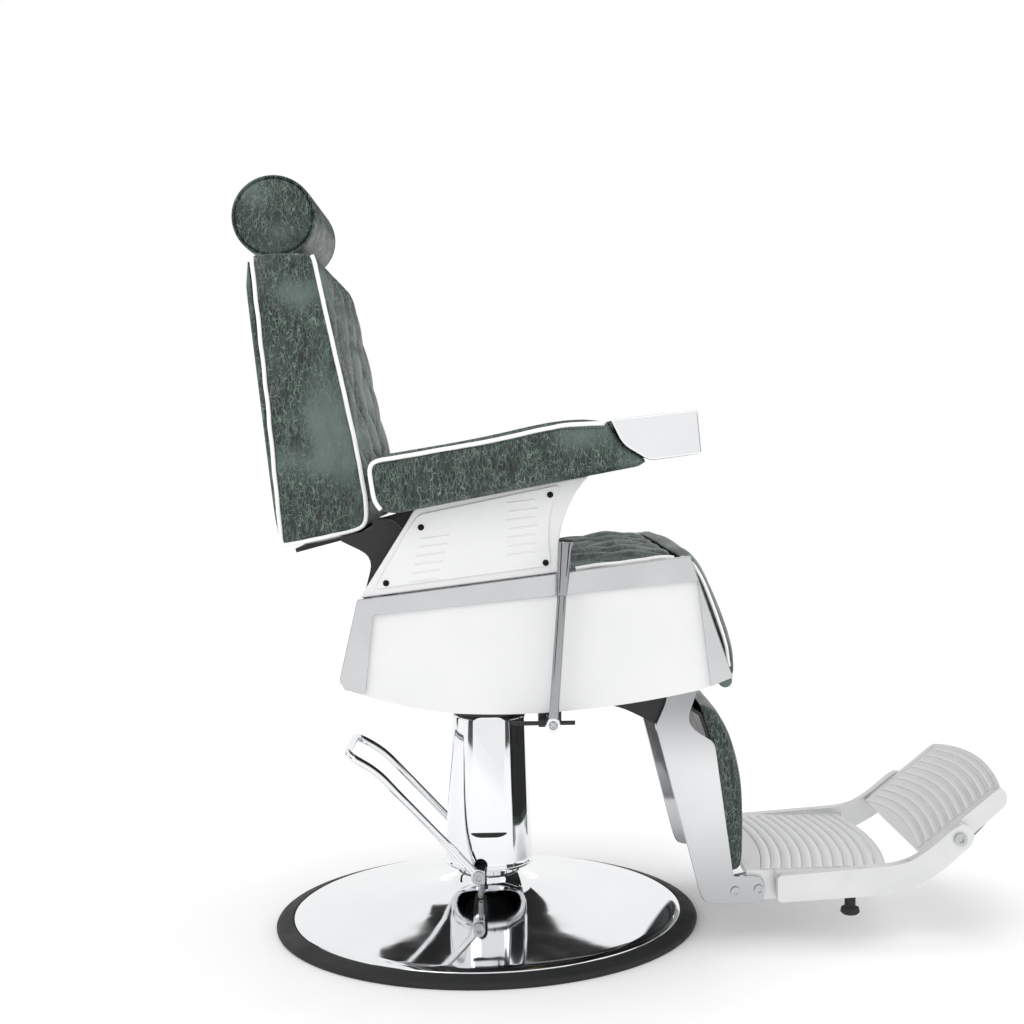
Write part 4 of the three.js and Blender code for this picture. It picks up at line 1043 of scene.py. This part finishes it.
back_half = half_width_of("back_body")
back_outline = [(-326, 984, 8), (-281, 989, 30), (-236, 988, 10), (-172, 705, 60), (-161, 614, 22),
                (-172, 603, 10), (-284, 579, 8)]
wedge = plate_xz("back_body_start", inset(back_outline, 0.5), -back_half + 2, back_half - 2, LEATHER, 0)
wedge = stuffed(wedge, 6, 3)
wedge.name = "back_body_stuffed"
cushioned(wedge, "back", ["back_body"])

front_sweep = [Vector(p) for p in ((-236, 988), (-204, 846), (-172, 705))]
front_sweep += bowed((-172, 705), (-158, 640), (-162, 612), 8)[1:]
round_foot = bowed((-162, 612), (-166, 600), (-186, 598), 5)[1:] + [Vector((-284, 579))]
rear_sweep = [Vector(p) for p in ((-284, 579), (-303, 780), (-326, 984))]
for side, label in SIDES:
    whole = front_sweep + round_foot + rear_sweep[1:]
    piped(f"back_piping_{label}", [(p.x, side * back_half, p.y) for p in whole], wedge, "back")
    inner_line = inset([tuple(p) for p in whole], 8)
    stitched(f"back_stitches_{label}", [(x, side * back_half, z) for x, z in inner_line], wedge, "back")

tuft_face = [(-234, 972), (-222, 940), (-204, 858), (-188, 790), (-176, 740), (-166, 700), (-158, 662),
             (-157, 645)]
tuft_root = [(-238, 972), (-230, 940), (-213, 858), (-197, 790), (-184, 730), (-176, 695), (-168, 655),
             (-166, 645)]
front_half_width = half_width_of("back_cushion")
tuft_pitch = (front_half_width / 2, 128)
tuft_length = 340
tufted_front = pillow("back_front_tufted", tuft_face, tuft_root, lambda x: front_half_width, 190, 140,
                      lambda y, v: 12 * max(-0.35, tuft(y, v * tuft_length, *tuft_pitch)) - 2, (3.2, 20), 0.2)
cushioned(tufted_front, "back", ["back_cushion"])

rear_face = [(-331, 972), (-333, 940), (-312, 770), (-292, 612), (-284, 597)]
rear_root = [(-325, 972), (-321.5, 940), (-301.5, 770), (-283, 612), (-280, 597)]
rear_width = half_width_of("back_panel")
rear_panel_pad = pillow("back_rear_padded", rear_face, rear_root, lambda x: rear_width, 100, 80, None,
                        (14, 10), 0.2)
cushioned(rear_panel_pad, "back", ["back_panel"])


def leather_button(radius):
    """A covered button, domed towards +Z."""
    return turned("button", [(0, -2), (radius, -2, 1), (radius, 0.5, 1.5), (radius * 0.6, 2.6, 3), (0, 3.2)],
                  None, 24, closed=False)


find_front = surface_finder(tufted_front)
face_lean = radians(13)
button_turn = Vector((cos(face_lean), 0, sin(face_lean))).to_track_quat("Z", "Y").to_euler()
spots, turns = [], []
for row in range(1, 6):
    for column in range(-4, 5):
        if (row + column) % 2:
            continue
        y = column * tuft_pitch[0] / 2
        v = row * tuft_pitch[1] / 2 / tuft_length
        if abs(y) < front_half_width - 20 and v < 0.95:
            p = walk(tuft_face)(v)
            spots.append(find_front(Vector((p.x, y, p.y)) * MM)[0])
            turns.append(button_turn)
buttons = scattered("back_buttons", leather_button(7), spots, turns, LEATHER)
settled(buttons, "back")


# ---- Headrest ----
# A firm roll with a welted disc sewn into each end, on a flat chrome post that slides into the back.

roll_low, roll_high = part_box("headrest_roll")
roll_middle = (roll_low + roll_high) / 2
roll_half = roll_high.y / MM
roll_radius = (roll_high.z - roll_low.z) / 2 / MM
end = [(0, roll_half + 1), (roll_radius * 0.5, roll_half, 30), (roll_radius - 7, roll_half - 4, 6),
       (roll_radius - 5.5, roll_half - 9.5), (roll_radius - 1.5, roll_half - 6, 2),
       (roll_radius, roll_half - 9, 2), (roll_radius - 1.2, roll_half - 13, 1),
       (roll_radius, roll_half - 20, 5)]
profile = end + [(r, -y, *more) for r, y, *more in reversed(end)]
roll = turned("headrest_roll_sewn", profile, LEATHER, 128, closed=False,
              place=Matrix.Translation(roll_middle) @ UPRIGHT)
cushioned(smoothed(roll, 60), "headrest", ["headrest_roll"])
dressed(CHROME, 1.0, "headrest_post")


# ---- Recline lever ----
# A chromed handle on the right side: a round shaft that swells into a tapered grip with a black
# end plug, keyed to a cross shaft under the seat.

pivot_low, pivot_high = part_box("lever_cross_shaft")
lever_foot = Vector(((pivot_low.x + pivot_high.x) / 2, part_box("lever_shaft")[0].y + 7 * MM,
                     (pivot_low.z + pivot_high.z) / 2))
lever_head = Vector((0.1025, lever_foot.y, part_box("lever_grip")[1].z - 1 * MM))
lever_way = lever_head - lever_foot
lever_length = lever_way.length / MM
stand = Matrix.Translation(lever_foot) @ lever_way.to_track_quat("Z", "Y").to_matrix().to_4x4()
shaft_end = lever_length * 0.7
# The rod and handle carry the chrome's painted reflection, which changes with height.
shaft = turned("lever_rod", [(0, 0), (6.5, 0, 1), (6.2, shaft_end), (0, shaft_end)], CHROME_PAINTED_REFLECTION, 48, False, stand)
hub = turned("lever_hub", [(0, -7), (9.4, -7, 1.5), (9.4, 7, 1.5), (0, 7)], CHROME, 48, False,
             Matrix.Translation(lever_foot) @ UPRIGHT)
settled(joined("lever_rod", shaft, hub), "lever", ["lever_shaft"])
settled(turned("lever_handle", [
    (0, shaft_end + 0.3), (6.8, shaft_end + 0.3, 0.5), (7.6, shaft_end + 14, 8), (10, lever_length - 3),
    (9.6, lever_length - 1.5, 1), (0, lever_length - 1.5),
], CHROME_PAINTED_REFLECTION, 64, False, stand), "lever", ["lever_grip"])
settled(turned("lever_plug", [
    (0, lever_length - 1.4), (9.3, lever_length - 1.4), (9.3, lever_length + 0.6, 1), (0, lever_length + 1.4),
], RUBBER, 48, False, stand), "lever")
settled(scattered("lever_pivot_screw", button_screw(5.5), [lever_foot - Vector((0, 7.2 * MM, 0))],
                  [(radians(90), 0, 0)], STEEL), "lever")


# ---- Footrest legs and calf pad ----
# Two chromed steel brackets hang from the seat and carry the footplate. A padded calf rest
# stands between them on a black board.

leg_outline = [
    (246, 392, 4), (259, 366, 24), (238, 318, 5), (243, 307, 5), (290, 127), (305, 70, 22), (316, 62, 14),
    (396, 60, 14), (398, 100, 16), (352, 101, 4), (325, 294, 8), (295, 313, 12), (286, 330, 12),
    (297, 362, 24), (308, 392, 4),
]
# The brackets' chrome carries a painted reflection that changes with height.
for side, label in SIDES:
    low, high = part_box(f"leg_bracket_{label}")
    near, far = sorted((low.y / MM, high.y / MM), key=abs)
    settled(plate_xz(f"leg_{label}_chromed", leg_outline, near, far, CHROME_PAINTED_REFLECTION, 1.6, 10), "seat",
            [f"leg_bracket_{label}"])
dressed(STEEL, 0.3, *[f"leg_screw_{side}_{k}" for side in ("left", "right") for k in (1, 2)],
        "flip_screw_left", "flip_screw_right", "pedal_bolt_left", "pedal_bolt_right")

calf_half = half_width_of("calf_pad")
calf_face = with_arcs([(303, 350), (330, 340, 12), (354, 300, 40), (370, 240, 50), (373, 180, 40),
                       (371, 108, 20), (362, 101, 6), (334, 101)], closed=False, steps=8)
calf_root = [(303, 350), (307.5, 337), (320.6, 297), (327.6, 240), (331.6, 120), (333, 101)]
calf = pillow("calf_pad_stitched", calf_face, calf_root, lambda x: calf_half, 80, 110, None, (12, 40), 0.25)
cushioned(calf, "seat", ["calf_pad"])
for side, label in SIDES:
    line = [(p.x, side * (calf_half - 9), p.y) for p in calf_face[4:-4]]
    stitched(f"calf_stitches_{label}", line, calf, "seat")


# ---- Footplate and flip plate ----
# Satin cast aluminium: a footplate with bowed tread ribs between two rails, and a plate that
# flips over on two screws, ribbed on one side and padded on the other. Ribs come from geometry nodes.

def bowed_rib(half_length, bow, radius):
    """A low half-round rib along Y whose middle is drawn back by bow, or forward if bow is negative."""
    line = [Vector((-bow * (1 - t * t), half_length * t, 0)) * MM for t in (k / 24 - 1 for k in range(49))]
    rib = tube("rib", line, radius, None, sides=4)
    rib.data.transform(Matrix.Diagonal((1, 1, 0.24, 1)))
    return rib


# Tumbled cast aluminium: pale and satin, with a fine grain.
ALUMINIUM = surface("satin_cast_aluminium", (50, 4.0), ("cfd0d1", "e6e6e6"), (0.9, 2.0, 0.05, 0.6),
                    (0.34, 0.46), Metallic=0.75)
dressed(ALUMINIUM, 1.0, "foot_casting", "flip_plate")
dressed(RUBBER, 0, "rubber_foot_left", "rubber_foot_right")

plate_top = 107
rib_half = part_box("leg_bracket_left")[0].y / MM - 6
rib_places = [Vector((400 + 15.5 * k, 0, plate_top)) * MM for k in range(12)]
settled(scattered("footplate_ribs", bowed_rib(rib_half, -18, 7.4), rib_places, [(0, 0, 0)] * 12, ALUMINIUM),
        "seat")

flip_screw_low, flip_screw_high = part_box("flip_screw_right")
hinge = Vector(((flip_screw_low.x + flip_screw_high.x) / 2, 0, (flip_screw_low.z + flip_screw_high.z) / 2))
flip_turn = radians(-37.8)
on_flip = Matrix.Translation(hinge) @ Matrix.Rotation(flip_turn, 4, "Y")
flip_places = [on_flip @ (Vector((-48 + 15.2 * k, 0, 14)) * MM) for k in range(10)]
flip_half = half_width_of("flip_pad")
flip_rib = bowed_rib(flip_half - 4, -17, 7.2)
settled(scattered("flip_ribs", flip_rib, flip_places, [(0, flip_turn, 0)] * 10, ALUMINIUM),
        "flip")



def flip_to_world(x, z):
    """The side-view point (x, z) in mm of a place given in the flip plate's own frame."""
    placed = on_flip @ (Vector((x, 0, z)) * MM) / MM
    return placed.x, placed.z


belly_line = with_arcs([(-51, 5), (-51, -8, 6), (-33, -27, 24), (16, -36, 50), (70, -26, 30), (95, -8, 8),
                        (94, 5)], closed=False)
flip_face = [flip_to_world(p.x, p.y) for p in belly_line]
flip_root = [flip_to_world(x, 6.2) for x in (-51, -20, 20, 60, 94)]
flip_pad = pillow("flip_pad_stuffed", flip_face, flip_root, lambda x: flip_half, 80, 70, None, (12, 40), 0.2)
cushioned(flip_pad, "flip", ["flip_pad"])

low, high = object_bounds()
